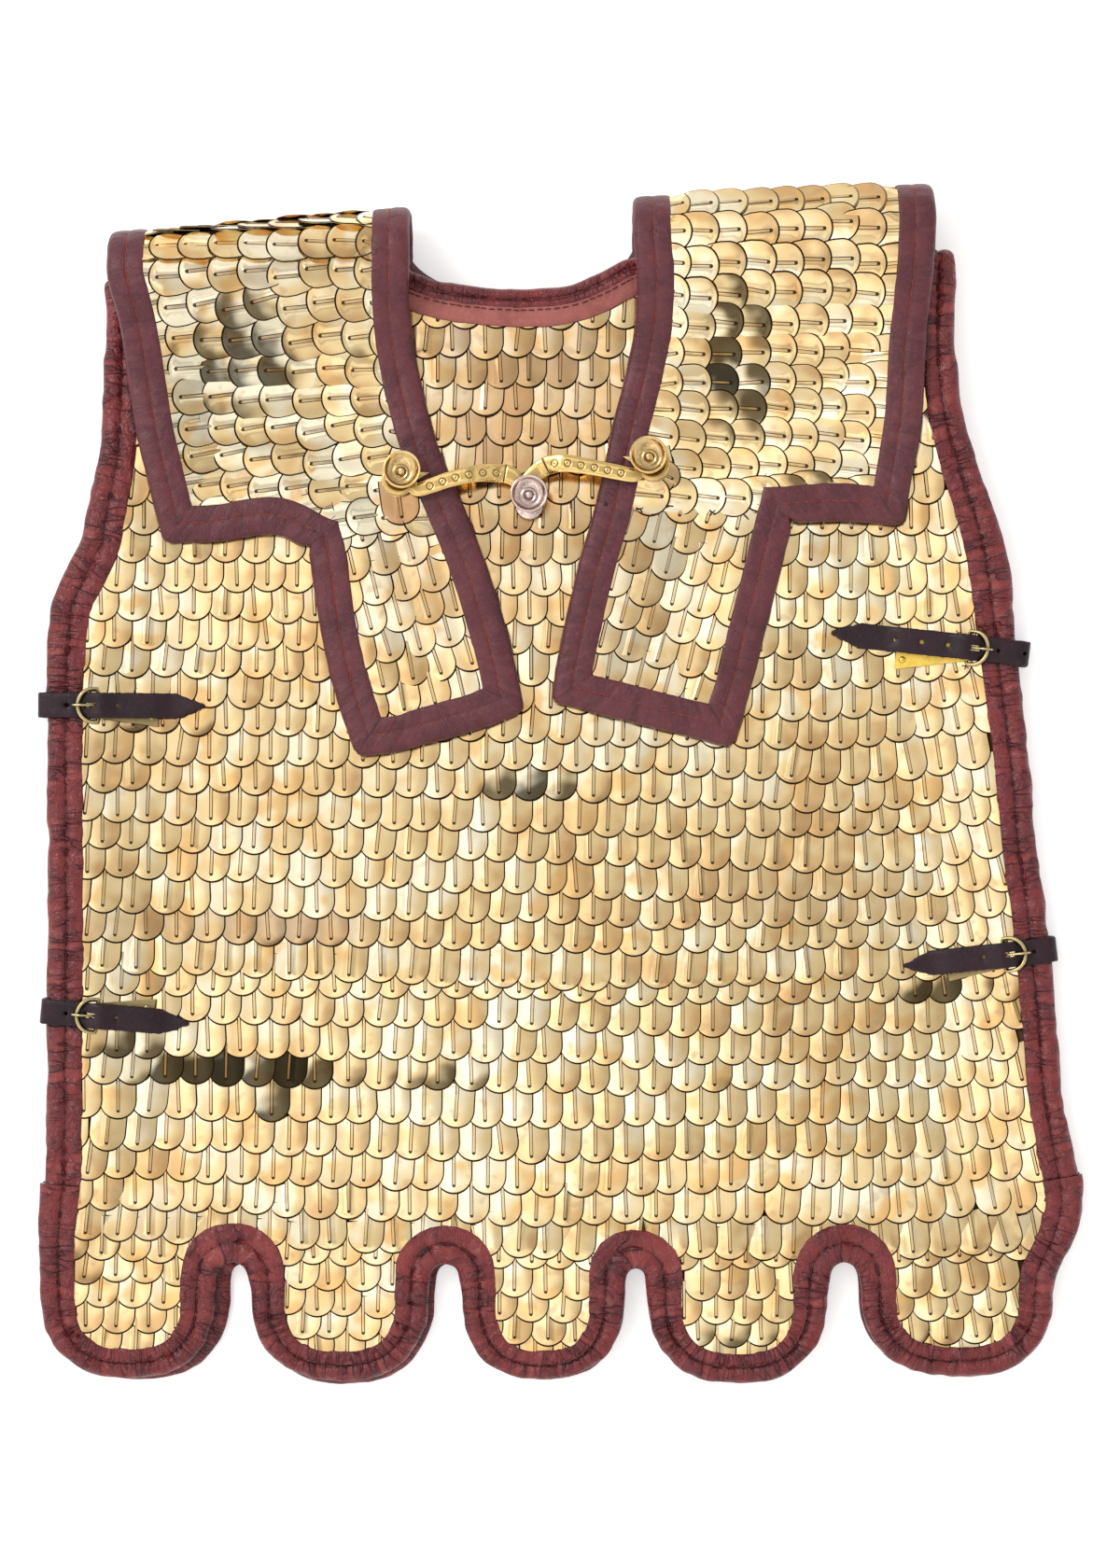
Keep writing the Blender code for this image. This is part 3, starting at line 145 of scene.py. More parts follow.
RIGHT_HOOK = table(
    "x y half_width low",
    (44.9, 181.9, 4.2, 0), (34.2, 183.7, 4.6, 0), (23, 185.9, 4.6, 0), (11.8, 187.9, 4.9, 0),
    (3.4, 189.0, 5.3, 0), (-6, 188.2, 5.5, 0.8), (-12, 185.0, 5.4, 1), (-18.0, 180.2, 4.4, 1),
    (-24.0, 175.0, 3.2, 1), (-26.1, 168.0, 2.4, 1), (-25.4, 165.0, 2.0, 1),
)
STUDS = table(
    "name x y lean_x lean_y spur_x spur_y",
    ("stud_left", -96.2, 178.8, 0.22, 0.42, 19.0, 5.0),
    ("stud_right", 56.9, 187.5, -0.30, 0.42, -19.0, 6.0),
    ("stud_breast", -17.9, 165.1, 0.0, 0.28, 0.0, 0.0),
)
STRAPS = table(
    "name x y along_x along_y reach slack wire bar plate drift before past",
    ("left_upper", -309, 45.3, 1.0, -0.006, 95, 4.8, 20, 31.5, 36, -3.0, 1, 1),
    ("left_lower", -308, -139, 0.9959, -0.0907, 85, 4.2, 18.5, 30, 34, 3.5, 1, 1),
    ("right_upper", 276.5, 76.3, -0.9936, 0.1125, 113, 6.6, 19.5, 31, 42, -8.0, 2, 3),
    ("right_lower", 295.2, -101.8, -0.9934, -0.1152, 88, 4.6, 15.5, 28, 34, -2.5, 1, 1),
)
SPUR_PLATE = 1.0
BREAST_EXTRA = 6.2
RING_OUTER, RING_INNER = 10.4, 6.2
HOOK_HALF_DEPTH = 1.2
RING_OVER_FOOT = 4.6
LEFT_HOOK_LOW, RIGHT_HOOK_LOW = 26.5, 29.3
STRAP_WIDTH, STRAP_THICK = 15.0, 2.2
WIRE = 1.2
BUCKLE_HALF = 9.8
HOLE_RADIUS = 1.3
HOLE_PITCH = 15.9
PLATE_THICK = 0.8
PRONG_SLOT = 1.6
ROOT_REACH = 11.0
STRAP_UNDER_WIRE = PAD_LIP + GAP + STRAP_THICK / 2 + 0.5
BAR_HEIGHT = SCALE_TOP + GAP + PLATE_THICK + GAP + WIRE
PLATE_BEND = WIRE + GAP + PLATE_THICK / 2
STRAP_OVER_BAR = BAR_HEIGHT + PLATE_BEND + PLATE_THICK / 2 + 2 * GAP + STRAP_THICK / 2
RIVET_TOP = SCALE_TOP + GAP + 2 * PLATE_THICK + GAP + 1.0
STRAP_OVER_RIVETS = RIVET_TOP + GAP + STRAP_THICK / 2
WIRE_HEIGHT = STRAP_UNDER_WIRE + STRAP_THICK / 2 + GAP + WIRE + 0.3
D_CURVE = table("depth half", (0, 1), (0.3, 1), (0.5, 0.95), (0.68, 0.82), (0.83, 0.62), (0.94, 0.36))


# ---------------------------------------------------------------- numbers along lines


def smooth(value, start, end):
    """0 before start, 1 after end, and an even curve between."""
    t = np.clip((np.asarray(value, float) - start) / (end - start), 0.0, 1.0)
    return t * t * (3.0 - 2.0 * t)


def column(rows, name):
    return np.array([getattr(r, name) for r in rows], float)


def alike(*values):
    """Arrays of numbers, all of one shape."""
    return np.broadcast_arrays(*(np.asarray(v, float) for v in values))


def unit_vectors(vectors):
    """The directions of vectors, each with length 1."""
    return vectors / np.linalg.norm(vectors, axis=-1, keepdims=True)


def distances_along(points):
    """How far along a line each of its points lies."""
    return np.concatenate([[0], np.cumsum(np.linalg.norm(np.diff(points, axis=0), axis=1))])


def angles_round(count):
    return 2 * np.pi * np.arange(count) / count


def rise_of(rows, x):
    return np.interp(x, column(rows, "x"), column(rows, "rise"))


def edge_x(rows, y):
    return np.interp(y, column(rows, "y")[::-1], column(rows, "x")[::-1])


def wobble(at, spacing, seed):
    """An even random wave between -1 and 1 with one free value for each spacing."""
    at = np.asarray(at, float) / spacing
    low = math.floor(at.min()) - 2
    values = np.random.default_rng(seed).uniform(-1, 1, int(at.max() - low) + 6)
    cell = np.floor(at).astype(int) - low
    t = at - np.floor(at)
    t = t * t * (3 - 2 * t)
    return values[cell] * (1 - t) + values[cell + 1] * t


def curve_through(points, step):
    """A smooth line through control points, in even steps: (points, share of the control index at each)."""
    points = np.asarray(points, float)
    chord = distances_along(points)
    slopes = np.empty_like(points)
    slopes[1:-1] = (points[2:] - points[:-2]) / (chord[2:] - chord[:-2])[:, None]
    slopes[0] = (points[1] - points[0]) / (chord[1] - chord[0])
    slopes[-1] = (points[-1] - points[-2]) / (chord[-1] - chord[-2])
    at = np.linspace(chord[0], chord[-1], max(2, int(round((chord[-1] - chord[0]) / step)) + 1))
    cell = np.clip(np.searchsorted(chord, at, side="right") - 1, 0, len(points) - 2)
    span = (chord[cell + 1] - chord[cell])[:, None]
    t = ((at - chord[cell])[:, None]) / span
    made = (
        (2 * t**3 - 3 * t**2 + 1) * points[cell] + (t**3 - 2 * t**2 + t) * span * slopes[cell]
        + (-2 * t**3 + 3 * t**2) * points[cell + 1] + (t**3 - t**2) * span * slopes[cell + 1]
    )
    return made, cell + t[:, 0]


def area_inside(loop):
    """Area of a closed loop, below 0 where the loop runs with its inside on the right."""
    x, y = np.asarray(loop, float).T
    return 0.5 * (np.dot(x, np.roll(y, -1)) - np.dot(y, np.roll(x, -1)))


# ---------------------------------------------------------------- laid surfaces


def back_height(y):
    return FLOOR_MID + BACK_RISE * np.interp(y, column(BACK_STEP, "y"), column(BACK_STEP, "share"))


def front_height(x, y):
    """The front lies on the back: its padded edges hold it up and it sags between them."""
    sides = np.minimum(x - edge_x(LEFT_EDGE, y), edge_x(RIGHT_EDGE, y) - x)
    top = BODY_FOLD_Y + rise_of(BODY_SHOULDER, x) - y
    inside = np.minimum(np.minimum(sides, top), y - HEM_SAG_Y)
    return back_height(y) + FRONT_OVER_BACK - FRONT_SAG * smooth(inside, 14.0, 78.0)


def distance_to(points, x, y):
    """Shortest distance from places to a line through points."""
    start, step = points[:-1], np.diff(points, axis=0)
    best = np.full(np.shape(x), 1e9)
    for (x0, y0), (dx, dy) in zip(start, step):
        t = np.clip(((x - x0) * dx + (y - y0) * dy) / max(dx * dx + dy * dy, 1e-9), 0, 1)
        best = np.minimum(best, np.hypot(x - x0 - t * dx, y - y0 - t * dy))
    return best


def body_surface(side):
    """The shirt's front (side 1) or back (side -1), with half of the fold at its shoulder."""

    def surface(x, q):
        x, q = alike(x, q)
        fold = BODY_FOLD_Y + rise_of(BODY_SHOULDER, x)
        turn = np.clip((q - fold) / BODY_FOLD, 0, math.pi / 2)
        past = np.maximum((q - fold) / BODY_FOLD - math.pi / 2, 0)
        laid = front_height(x, np.minimum(q, fold)) if side > 0 else back_height(np.minimum(q, fold))
        middle = FLOOR_MID + BACK_RISE + BODY_FOLD
        y = np.where(q <= fold, q, fold + BODY_FOLD * np.sin(turn))
        # The hundredth past the seam only keeps the way along q known there, for the surface's direction.
        z = np.where(q <= fold, laid, middle + side * BODY_FOLD * (np.cos(turn) - 0.01 * past))
        return np.stack([x, y, z], -1)

    return surface


FLAP_LINES = [np.array([(r.x, r.y) for r in rows], float) for rows in (LEFT_FLAP, RIGHT_FLAP)]


def doubling_surface(x, q):
    """The flap over the front, the fold over the shoulder, then the yoke under the back."""
    x, q = alike(x, q)
    fold = DOUBLING_FOLD_Y + rise_of(DOUBLING_SHOULDER, x)
    top = FLOOR_MID + 2 * DOUBLING_FOLD
    y = np.minimum(q, fold)
    sag_left, sag_right = (smooth(distance_to(line, x, y), 24, 60) for line in FLAP_LINES)
    sag = np.where(x < CENTRE_BACK_X, sag_left, sag_right)
    laid = front_height(x, y) + FLAP_OVER_FRONT - FLAP_SAG * sag
    laid = laid + (top - laid) * smooth(y, fold - FLAP_RISE, fold)
    turn = (q - fold) / DOUBLING_FOLD
    bent = np.clip(turn, 0, math.pi)
    past = np.maximum(turn - math.pi, 0) * DOUBLING_FOLD
    y = np.where(turn > 0, fold + DOUBLING_FOLD * np.sin(bent) - past, y)
    z = np.where(turn > 0, top - DOUBLING_FOLD * (1 - np.cos(bent)), laid)
    return np.stack([x, y, z], -1)


def directions(surface, side, x, q, reach):
    """Unit vectors on a surface: along x, along q as near as can be at right angles, and outwards."""
    across = surface(x + reach, q) - surface(x - reach, q)
    up = surface(x, q + reach) - surface(x, q - reach)
    normal = unit_vectors(np.cross(across, up) * side)
    across, up = (unit_vectors(way - (way * normal).sum(-1, keepdims=True) * normal) for way in (across, up))
    return across, up, normal


NEARBY = 0.6


def outward(surface, side):
    """A function that places (x, q, distance) on the outer side of a surface."""

    def place(x, q, distance):
        x, q, distance = alike(x, q, distance)
        normal = directions(surface, side, x, q, NEARBY)[2]
        return surface(x, q) + distance[..., None] * normal

    return place


FRONT, BACK = body_surface(1), body_surface(-1)
ON_FRONT, ON_BACK, ON_DOUBLING = outward(FRONT, 1), outward(BACK, -1), outward(doubling_surface, 1)


# ---------------------------------------------------------------- materials


class Nodes:
    """Short calls for a tree of nodes."""

    def __init__(self, tree):
        self.nodes, self.links = tree.nodes, tree.links

    def add(self, kind, **settings):
        made = self.nodes.new(kind)
        for name, value in settings.items():
            setattr(made, name, value)
        return made

    def feed(self, socket, value):
        if isinstance(value, bpy.types.NodeSocket):
            self.links.new(value, socket)
        elif isinstance(value, tuple) and len(value) == 3 and socket.type == "RGBA":
            socket.default_value = (*value, 1)
        else:
            socket.default_value = value

    def math(self, operation, a, b=0.0):
        made = self.add("ShaderNodeMath", operation=operation)
        self.feed(made.inputs[0], a)
        self.feed(made.inputs[1], b)
        return made.outputs[0]

    def times(self, a, b):
        return self.math("MULTIPLY", a, b)

    def total(self, *terms):
        """The sum of terms (value, middle, weight): each value less its middle, times its weight."""
        parts = [self.times(self.math("SUBTRACT", value, middle) if middle else value, w) for value, middle, w in terms]
        made = parts[0]
        for part in parts[1:]:
            made = self.math("ADD", made, part)
        return made

    def ramp(self, value, low, high, start=0.0, end=1.0):
        """Start below low, end above high, and an even curve between."""
        made = self.add("ShaderNodeMapRange", interpolation_type="SMOOTHSTEP")
        names = ("Value", "From Min", "From Max", "To Min", "To Max")
        for name, number in zip(names, (value, low, high, start, end)):
            self.feed(made.inputs[name], number)
        return made.outputs["Result"]

    def mix(self, share, a, b):
        """Colour a, with this share of colour b."""
        made = self.add("ShaderNodeMix", data_type="RGBA")
        for place, value in (("Factor", share), (6, a), (7, b)):
            self.feed(made.inputs[place], value)
        return made.outputs[2]

    def place(self, turn=0.0):
        """Object coordinates in metres."""
        mapping = self.add("ShaderNodeMapping")
        mapping.inputs["Rotation"].default_value = (0, 0, turn)
        self.links.new(self.add("ShaderNodeTexCoord").outputs["Object"], mapping.inputs["Vector"])
        return mapping.outputs["Vector"]

    def noise(self, scale, detail=3.0, rough=0.55, vector=None, distortion=0.0):
        made = self.add("ShaderNodeTexNoise")
        for name, number in (("Scale", scale), ("Detail", detail), ("Roughness", rough), ("Distortion", distortion)):
            made.inputs[name].default_value = number
        self.feed(made.inputs["Vector"], vector or self.place())
        return made.outputs["Fac"]

    def attribute(self, name):
        """The three numbers of a point attribute."""
        split = self.add("ShaderNodeSeparateXYZ")
        self.links.new(self.add("ShaderNodeAttribute", attribute_name=name).outputs["Vector"], split.inputs[0])
        return tuple(split.outputs)

    def openness(self, reach):
        """Near 1 on open places, and less in corners that are closer than this."""
        made = self.add("ShaderNodeAmbientOcclusion", samples=2)
        made.inputs["Distance"].default_value = reach
        return made.outputs["AO"]

    def bump(self, height, depth, strength=1.0):
        made = self.add("ShaderNodeBump")
        made.inputs["Strength"].default_value = strength
        made.inputs["Distance"].default_value = depth
        self.feed(made.inputs["Height"], height)
        return made.outputs["Normal"]


class Graph(Nodes):
    """The nodes of a new material."""

    def __init__(self, name):
        self.material = bpy.data.materials.new(name)
        self.material.use_nodes = True
        super().__init__(self.material.node_tree)
        self.shader = self.nodes["Principled BSDF"]

    def finish(self, colour, roughness, normal=None, **fixed):
        self.feed(self.shader.inputs["Base Color"], colour)
        self.feed(self.shader.inputs["Roughness"], roughness)
        if normal is not None:
            self.feed(self.shader.inputs["Normal"], normal)
        for name, value in fixed.items():
            self.shader.inputs[name.replace("_", " ")].default_value = value
        return self.material


def darker(colour, share):
    return tuple(share * c for c in colour)


# Sheet brass: three colours from painted highlight (pale) to painted shade (brown), its warm patches and stains,
# painted dark reflections, the ribs, and painted shadow with dirt.
PALE, TAN, BROWN = (1.0, 0.93, 0.70), (0.90, 0.70, 0.37), (0.64, 0.41, 0.19)
WARM, STAINED, COPPER = (0.88, 0.55, 0.22), (0.55, 0.36, 0.22), (0.46, 0.26, 0.125)
REFLECTION_AND_SHADOW, RIBBED, SHADOW_AND_DIRT = (0.020, 0.015, 0.007), (0.46, 0.26, 0.095), (0.022, 0.012, 0.005)


def scale_brass():
    """Thin sheet brass: a painted highlight on one side of each scale and painted shade on the other, warm patches,
    painted dark reflections, and dark outlines of painted shadow and dirt.
    """
    g = Graph("scale_brass")
    rim, along, rib = g.attribute("shape")
    copper, dark, chance = g.attribute("tone")
    across, luck, standing = g.attribute("spread")
    patch = g.noise(58, 1, 0.6)
    broad = g.noise(9, 1, 0.6)
    stain = g.ramp(g.noise(120, 1, 0.6), 0.56, 0.74)
    # Painted highlight and shade: pale on one side of each scale and towards its root, tan to brown on the other side
    # and towards its tip, with random tone and broad uneven patches of painted light and shade.
    shade = g.total((across, 0, 0.34), (chance, 0.5, 0.52), (along, 0.70, 0.55), (patch, 0.5, 1.5), (broad, 0.5, 1.1))
    colour = g.mix(g.ramp(shade, -0.62, 0.06), PALE, TAN)
    colour = g.mix(g.ramp(shade, 0.02, 0.70), colour, BROWN)
    colour = g.mix(g.times(g.ramp(patch, 0.50, 0.66), g.ramp(luck, 0.2, 0.9, 0.1, 0.75)), colour, WARM)
    colour = g.mix(g.times(stain, 0.32), colour, STAINED)
    colour = g.mix(g.times(copper, 0.95), colour, COPPER)
    # Painted dark reflections, and by a strap a painted shadow, on the scales whose tone marks them dark, most towards
    # the tip.
    reflection_and_shadow = g.total((dark, 0, 3.0), (across, 0, 0.5), (along, 0.85, 1.7), (patch, 0.5, 2.0))
    reflection_and_shadow = g.times(g.ramp(reflection_and_shadow, 0.85, 1.65), g.ramp(dark, 0.30, 0.90, 0.72, 0.98))
    colour = g.mix(reflection_and_shadow, colour, REFLECTION_AND_SHADOW)
    colour = g.mix(g.ramp(rib, 0.80, 0.97, 0.0, 0.5), colour, RIBBED)
    # Painted shadow lies along the foot of each rib and round its end. Round each scale's edge, widest at its tip, the
    # dark outline is painted shadow and dirt.
    foot = g.times(g.ramp(rib, 0.03, 0.20), g.ramp(rib, 0.93, 0.66))
    end = g.times(g.ramp(rib, 0.02, 0.2), g.ramp(along, 0.786, 0.796))
    rib_shadow = g.times(g.math("MAXIMUM", foot, end), 0.92)
    edge = g.math("SUBTRACT", rim, g.ramp(along, 0.80, 1.0, 0.0, 0.38))
    outline = g.times(g.ramp(edge, 0.90, 0.60), g.ramp(standing, 0.4, 1.0, 1.0, 0.35))
    colour = g.mix(g.math("MAXIMUM", rib_shadow, outline), colour, SHADOW_AND_DIRT)
    roughness = g.math("ADD", g.times(stain, 0.10), 0.15)
    return g.finish(colour, roughness, g.bump(g.noise(70, 0, 0.5), 0.00035, 0.4), Metallic=1.0)


def cast_brass(name, colour, shadow, rough):
    """Polished fittings: brighter where they are rubbed, with painted shade in the corners and in cut lines."""
    g = Graph(name)
    mottle = g.ramp(g.noise(160, 2, 0.6, distortion=0.8), 0.42, 0.68)
    tint = g.mix(g.times(mottle, 0.35), colour, darker(colour, 0.75))
    # Painted shade in corners and hollows, and in the punched rings and cut lines.
    tint = g.mix(g.ramp(g.openness(0.009), 0.42, 0.97, 0.88, 0.0), tint, shadow)
    tint = g.mix(g.ramp(g.attribute("cut")[0], 0.06, 0.26, 0.0, 0.85), tint, darker(shadow, 0.4))
    roughness = g.math("ADD", rough, g.times(mottle, 0.1))
    return g.finish(tint, roughness, g.bump(g.noise(160, 1, 0.5), 0.00012, 0.35), Metallic=1.0)


# A binding's creases are about 1 / 0.135 mm apart along it, and reach right across it.
CREASE_SCALE = (0.135, 0.036, 3.0)


def leather(name, colour, shadow, rubbed_and_highlight, rough, grain, wrinkle, shine=0.35, lines=95.0, pull=1.0):
    """Dyed leather: pebbled grain, random darker lumps and rubbed colour, painted shade in thin creases and corners,
    and across a binding painted highlights on its puffs and painted shade in its valleys.

    Pull is how deep the creases across a binding are. Other pieces have no run attribute, and so none of them.
    """
    g = Graph(name)
    lumps = g.noise(48, 2, 0.55, distortion=0.4)
    folds = g.math("ABSOLUTE", g.math("SUBTRACT", g.noise(lines, 2, 0.5, distortion=1.6), 0.5))
    crease = g.ramp(folds, 0.0, 0.035)
    small = g.noise(330, 2, 0.6, distortion=0.8)
    stretched = g.add("ShaderNodeMapping")
    g.links.new(g.add("ShaderNodeAttribute", attribute_name="run").outputs["Vector"], stretched.inputs["Vector"])
    stretched.inputs["Scale"].default_value = CREASE_SCALE
    pulled = g.noise(1.0, 2, 0.5, vector=stretched.outputs["Vector"], distortion=0.3)
    bound = g.times(g.attribute("run")[2], g.ramp(lumps, 0.36, 0.62, 0.30 * pull, pull))
    valley = g.times(g.ramp(g.math("ABSOLUTE", g.math("SUBTRACT", pulled, 0.5)), 0.034, 0.0), bound)
    tint = g.mix(g.ramp(lumps, 0.36, 0.64, 0.12, 0.75), colour, shadow)
    tint = g.mix(g.ramp(small, 0.50, 0.72, 0.0, 0.35), tint, rubbed_and_highlight)
    # Painted shade in the thin creases.
    tint = g.mix(g.ramp(crease, 0.9, 0.0, 0.0, 0.14), tint, darker(shadow, 0.5))
    # Painted highlights on the puffs between a binding's creases.
    tint = g.mix(g.times(g.ramp(pulled, 0.52, 0.70, 0.0, 0.75), bound), tint, rubbed_and_highlight)
    # Painted shade in the crease valleys across a binding.
    tint = g.mix(g.times(valley, 0.62), tint, darker(shadow, 0.4))
    # Painted shade in corners and nooks.
    tint = g.mix(g.ramp(g.openness(0.007), 0.95, 0.45, 0.0, 0.85), tint, darker(shadow, 0.35))
    pebble = g.add("ShaderNodeTexVoronoi", feature="SMOOTH_F1")
    pebble.inputs["Scale"].default_value = grain
    g.links.new(g.place(), pebble.inputs["Vector"])
    height = g.total((small, 0, 0.7), (crease, 0, 0.3), (pebble.outputs["Distance"], 0, 0.35))
    height = g.math("SUBTRACT", height, g.times(valley, 0.9))
    height = g.math("ADD", height, g.times(g.times(pulled, bound), 4.5))
    roughness = g.math("ADD", rough, g.times(lumps, 0.18))
    return g.finish(tint, roughness, g.bump(height, wrinkle, 0.9), Specular_IOR_Level=shine)


def thread(name, colour):
    g = Graph(name)
    twist = g.noise(1800, 2, 0.5, vector=g.place(0.7))
    tint = g.mix(g.ramp(twist, 0.35, 0.7), colour, darker(colour, 0.45))
    return g.finish(tint, 0.8, g.bump(twist, 0.0002))


SCALE_BRASS = scale_brass()
HOOK_BRASS = cast_brass("hook_brass", (0.84, 0.59, 0.23), (0.14, 0.07, 0.02), 0.10)
STUD_BRASS = cast_brass("stud_brass", (0.84, 0.60, 0.28), (0.12, 0.055, 0.02), 0.09)
STUD_PALE = cast_brass("stud_pale", (0.78, 0.62, 0.57), (0.12, 0.07, 0.05), 0.08)
BUCKLE_BRASS = cast_brass("buckle_brass", (0.62, 0.50, 0.25), (0.10, 0.07, 0.03), 0.26)
PLATE_BRASS = cast_brass("plate_brass", (0.90, 0.62, 0.12), (0.25, 0.15, 0.03), 0.22)
PLATE_DARK = cast_brass("plate_dark", (0.42, 0.33, 0.16), (0.08, 0.05, 0.02), 0.24)
TRIM_LEATHER = leather(
    "trim_leather", (0.195, 0.021, 0.023), (0.095, 0.011, 0.018), (0.32, 0.050, 0.044),
    rough=0.24, grain=700, wrinkle=0.0010, shine=0.46, lines=62,
)
NECK_LEATHER = leather(
    "neck_leather", (0.38, 0.115, 0.10), (0.28, 0.075, 0.065), (0.45, 0.17, 0.14),
    rough=0.5, grain=800, wrinkle=0.0002,
)
DOUBLING_LEATHER = leather(
    "doubling_leather", (0.128, 0.028, 0.036), (0.078, 0.016, 0.024), (0.190, 0.056, 0.068),
    rough=0.33, grain=1300, wrinkle=0.00034, shine=0.38, lines=45, pull=0.4,
)
STRAP_LEATHER = leather(
    "strap_leather", (0.026, 0.008, 0.014), (0.012, 0.005, 0.009), (0.050, 0.017, 0.022),
    rough=0.34, grain=1100, wrinkle=0.0002, shine=0.3,
)
WALL_LEATHER = leather(
    "wall_leather", (0.19, 0.085, 0.042), (0.11, 0.048, 0.026), (0.24, 0.12, 0.07),
    rough=0.66, grain=900, wrinkle=0.0003,
)
RED_THREAD = thread("red_thread", (0.36, 0.052, 0.020))
DARK_THREAD = thread("dark_thread", (0.085, 0.016, 0.014))
BLACK_THREAD = thread("black_thread", (0.012, 0.012, 0.016))


# ---------------------------------------------------------------- meshes


def add_piece(name, points, faces, material, slot, replaced=(), body="garment", sharp=40.0, **attributes):
    """A mesh piece in metres from points in millimetres and lists of faces, one list for each number of corners."""
    points = np.asarray(points, float).reshape(-1, 3)
    faces = [np.asarray(f, np.int32).reshape(len(f), -1) for f in faces if len(f)]
    mesh = bpy.data.meshes.new(name)
    mesh.vertices.add(len(points))
    mesh.vertices.foreach_set("co", ((points - MIDDLE) * MM).astype(np.float32).ravel())
    corners = np.concatenate([f.ravel() for f in faces])
    counts = np.concatenate([np.full(len(f), f.shape[1], np.int32) for f in faces])
    mesh.loops.add(len(corners))
    mesh.loops.foreach_set("vertex_index", corners)
    mesh.polygons.add(len(counts))
    mesh.polygons.foreach_set("loop_start", (np.cumsum(counts) - counts).astype(np.int32))
    mesh.update(calc_edges=True)
    mesh.validate()
    for label, values in attributes.items():
        layer = mesh.attributes.new(label, "FLOAT_VECTOR", "POINT")
        layer.data.foreach_set("vector", np.asarray(values, np.float32).ravel())
    mesh.materials.append(material)
    mesh.shade_smooth()
    mesh.set_sharp_from_angle(angle=math.radians(sharp))
    made = bpy.data.objects.new(name, mesh)
    bpy.context.scene.collection.objects.link(made)
    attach(made, body)
    if replaced:
        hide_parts(*replaced)
    return made


def tiles(loops, lines, dots):
    """Triangles over the plane that keep every loop and line as edges: (points, triangles)."""
    points, edges = [], []
    for loop in loops:
        first = len(points)
        points += [tuple(map(float, p)) for p in loop]
        edges += [(first + i, first + (i + 1) % len(loop)) for i in range(len(loop))]
    for line in lines:
        first = len(points)
        points += [tuple(map(float, p)) for p in line]
        edges += [(first + i, first + i + 1) for i in range(len(line) - 1)]
    points += [tuple(map(float, p)) for p in dots]
    made, _, faces, *_ = delaunay_2d_cdt(points, edges, [], 0, 1e-4)
    return np.array([tuple(p) for p in made]), np.array(faces)


def inside_of(loop, points):
    """Which points lie inside a closed loop."""
    loop = np.asarray(loop, float)
    x, y = np.asarray(points, float).T
    crossings = np.zeros(len(x), int)
    for (x0, y0), (x1, y1) in zip(loop, np.roll(loop, -1, axis=0)):
        if y0 != y1:
            crossings += ((y0 > y) != (y1 > y)) & (x < (x1 - x0) * (y - y0) / (y1 - y0) + x0)
    return crossings % 2 == 1


def tiles_within(grid, outline, holes=()):
    points, faces = grid
    middles = points[faces].mean(1)
    keep = inside_of(outline, middles)
    for hole in holes:
        keep &= ~inside_of(hole, middles)
    used, order = np.unique(faces[keep], return_inverse=True)
    return points[used], order.reshape(-1, 3)


def open_sides(faces):
    """Edges that only one triangle has, in its direction."""
    pairs = np.concatenate([faces[:, [0, 1]], faces[:, [1, 2]], faces[:, [2, 0]]])
    known = {(a, b) for a, b in pairs.tolist()}
    return np.array([(a, b) for a, b in pairs.tolist() if (b, a) not in known])


def shell(flat, place, foot, top):
    """Points and faces of a closed wall between two distances from a surface."""
    points, faces = flat
    count = len(points)
    solid = np.vstack([place(*points.T, foot), place(*points.T, top)])
    rims = open_sides(faces)
    quads = np.column_stack([rims, rims[:, ::-1] + count])
    return solid, [np.vstack([faces[:, ::-1], faces + count]), quads]


def joined(parts):
    """Several (points, face lists) as one."""
    points, faces, first = [], [], 0
    for some, lists in parts:
        points.append(np.asarray(some, float).reshape(-1, 3))
        faces += [np.asarray(f, int) + first for f in lists if len(f)]
        first += len(points[-1])
    widths = sorted({f.shape[1] for f in faces})
    return np.vstack(points), [np.vstack([f for f in faces if f.shape[1] == w]) for w in widths]


def swept(rings, closed=False):
    """Quads between rings of points, (stations, ring points, 3), with flat ends unless closed."""
    rings = np.asarray(rings, float)
    stations, size = rings.shape[:2]
    i, j = np.meshgrid(np.arange(stations if closed else stations - 1), np.arange(size), indexing="ij")
    after, beside = (i + 1) % stations, (j + 1) % size
    quads = np.stack([i * size + j, i * size + beside, after * size + beside, after * size + j], -1).reshape(-1, 4)
    ends = []
    if not closed:
        last = (stations - 1) * size
        ends = [np.arange(size)[None, ::-1], last + np.arange(size)[None, :]]
    return rings.reshape(-1, 3), [quads, *ends]


def tube(path, radius, sides=12, closed=False, upright=(0, 0, 1)):
    """A round rod along a path. The radius may change along it."""
    path = np.asarray(path, float)
    radius = np.broadcast_to(np.asarray(radius, float), (len(path),))
    along = unit_vectors(np.roll(path, -1, 0) - np.roll(path, 1, 0) if closed else np.gradient(path, axis=0))
    out = unit_vectors(np.cross(along, np.asarray(upright, float)))
    up = np.cross(out, along)
    angles = angles_round(sides)
    rings = path[:, None] + radius[:, None, None] * (
        np.cos(angles)[None, :, None] * out[:, None] + np.sin(angles)[None, :, None] * up[:, None]
    )
    return swept(rings, closed)


def turned(profile, middle_at, segments=64):
    """A turned shape from (radius, height) rows, its middle at each height given by middle_at."""
    angles = angles_round(segments)
    rings = []
    for r, h in profile:
        x, y, z = middle_at(h)
        rings.append(np.column_stack([x + r * np.cos(angles), y + r * np.sin(angles), np.full(segments, z)]))
    return swept(rings)


# ---------------------------------------------------------------- outlines

STATION = 2.0
MITRE_REACH = 2.6


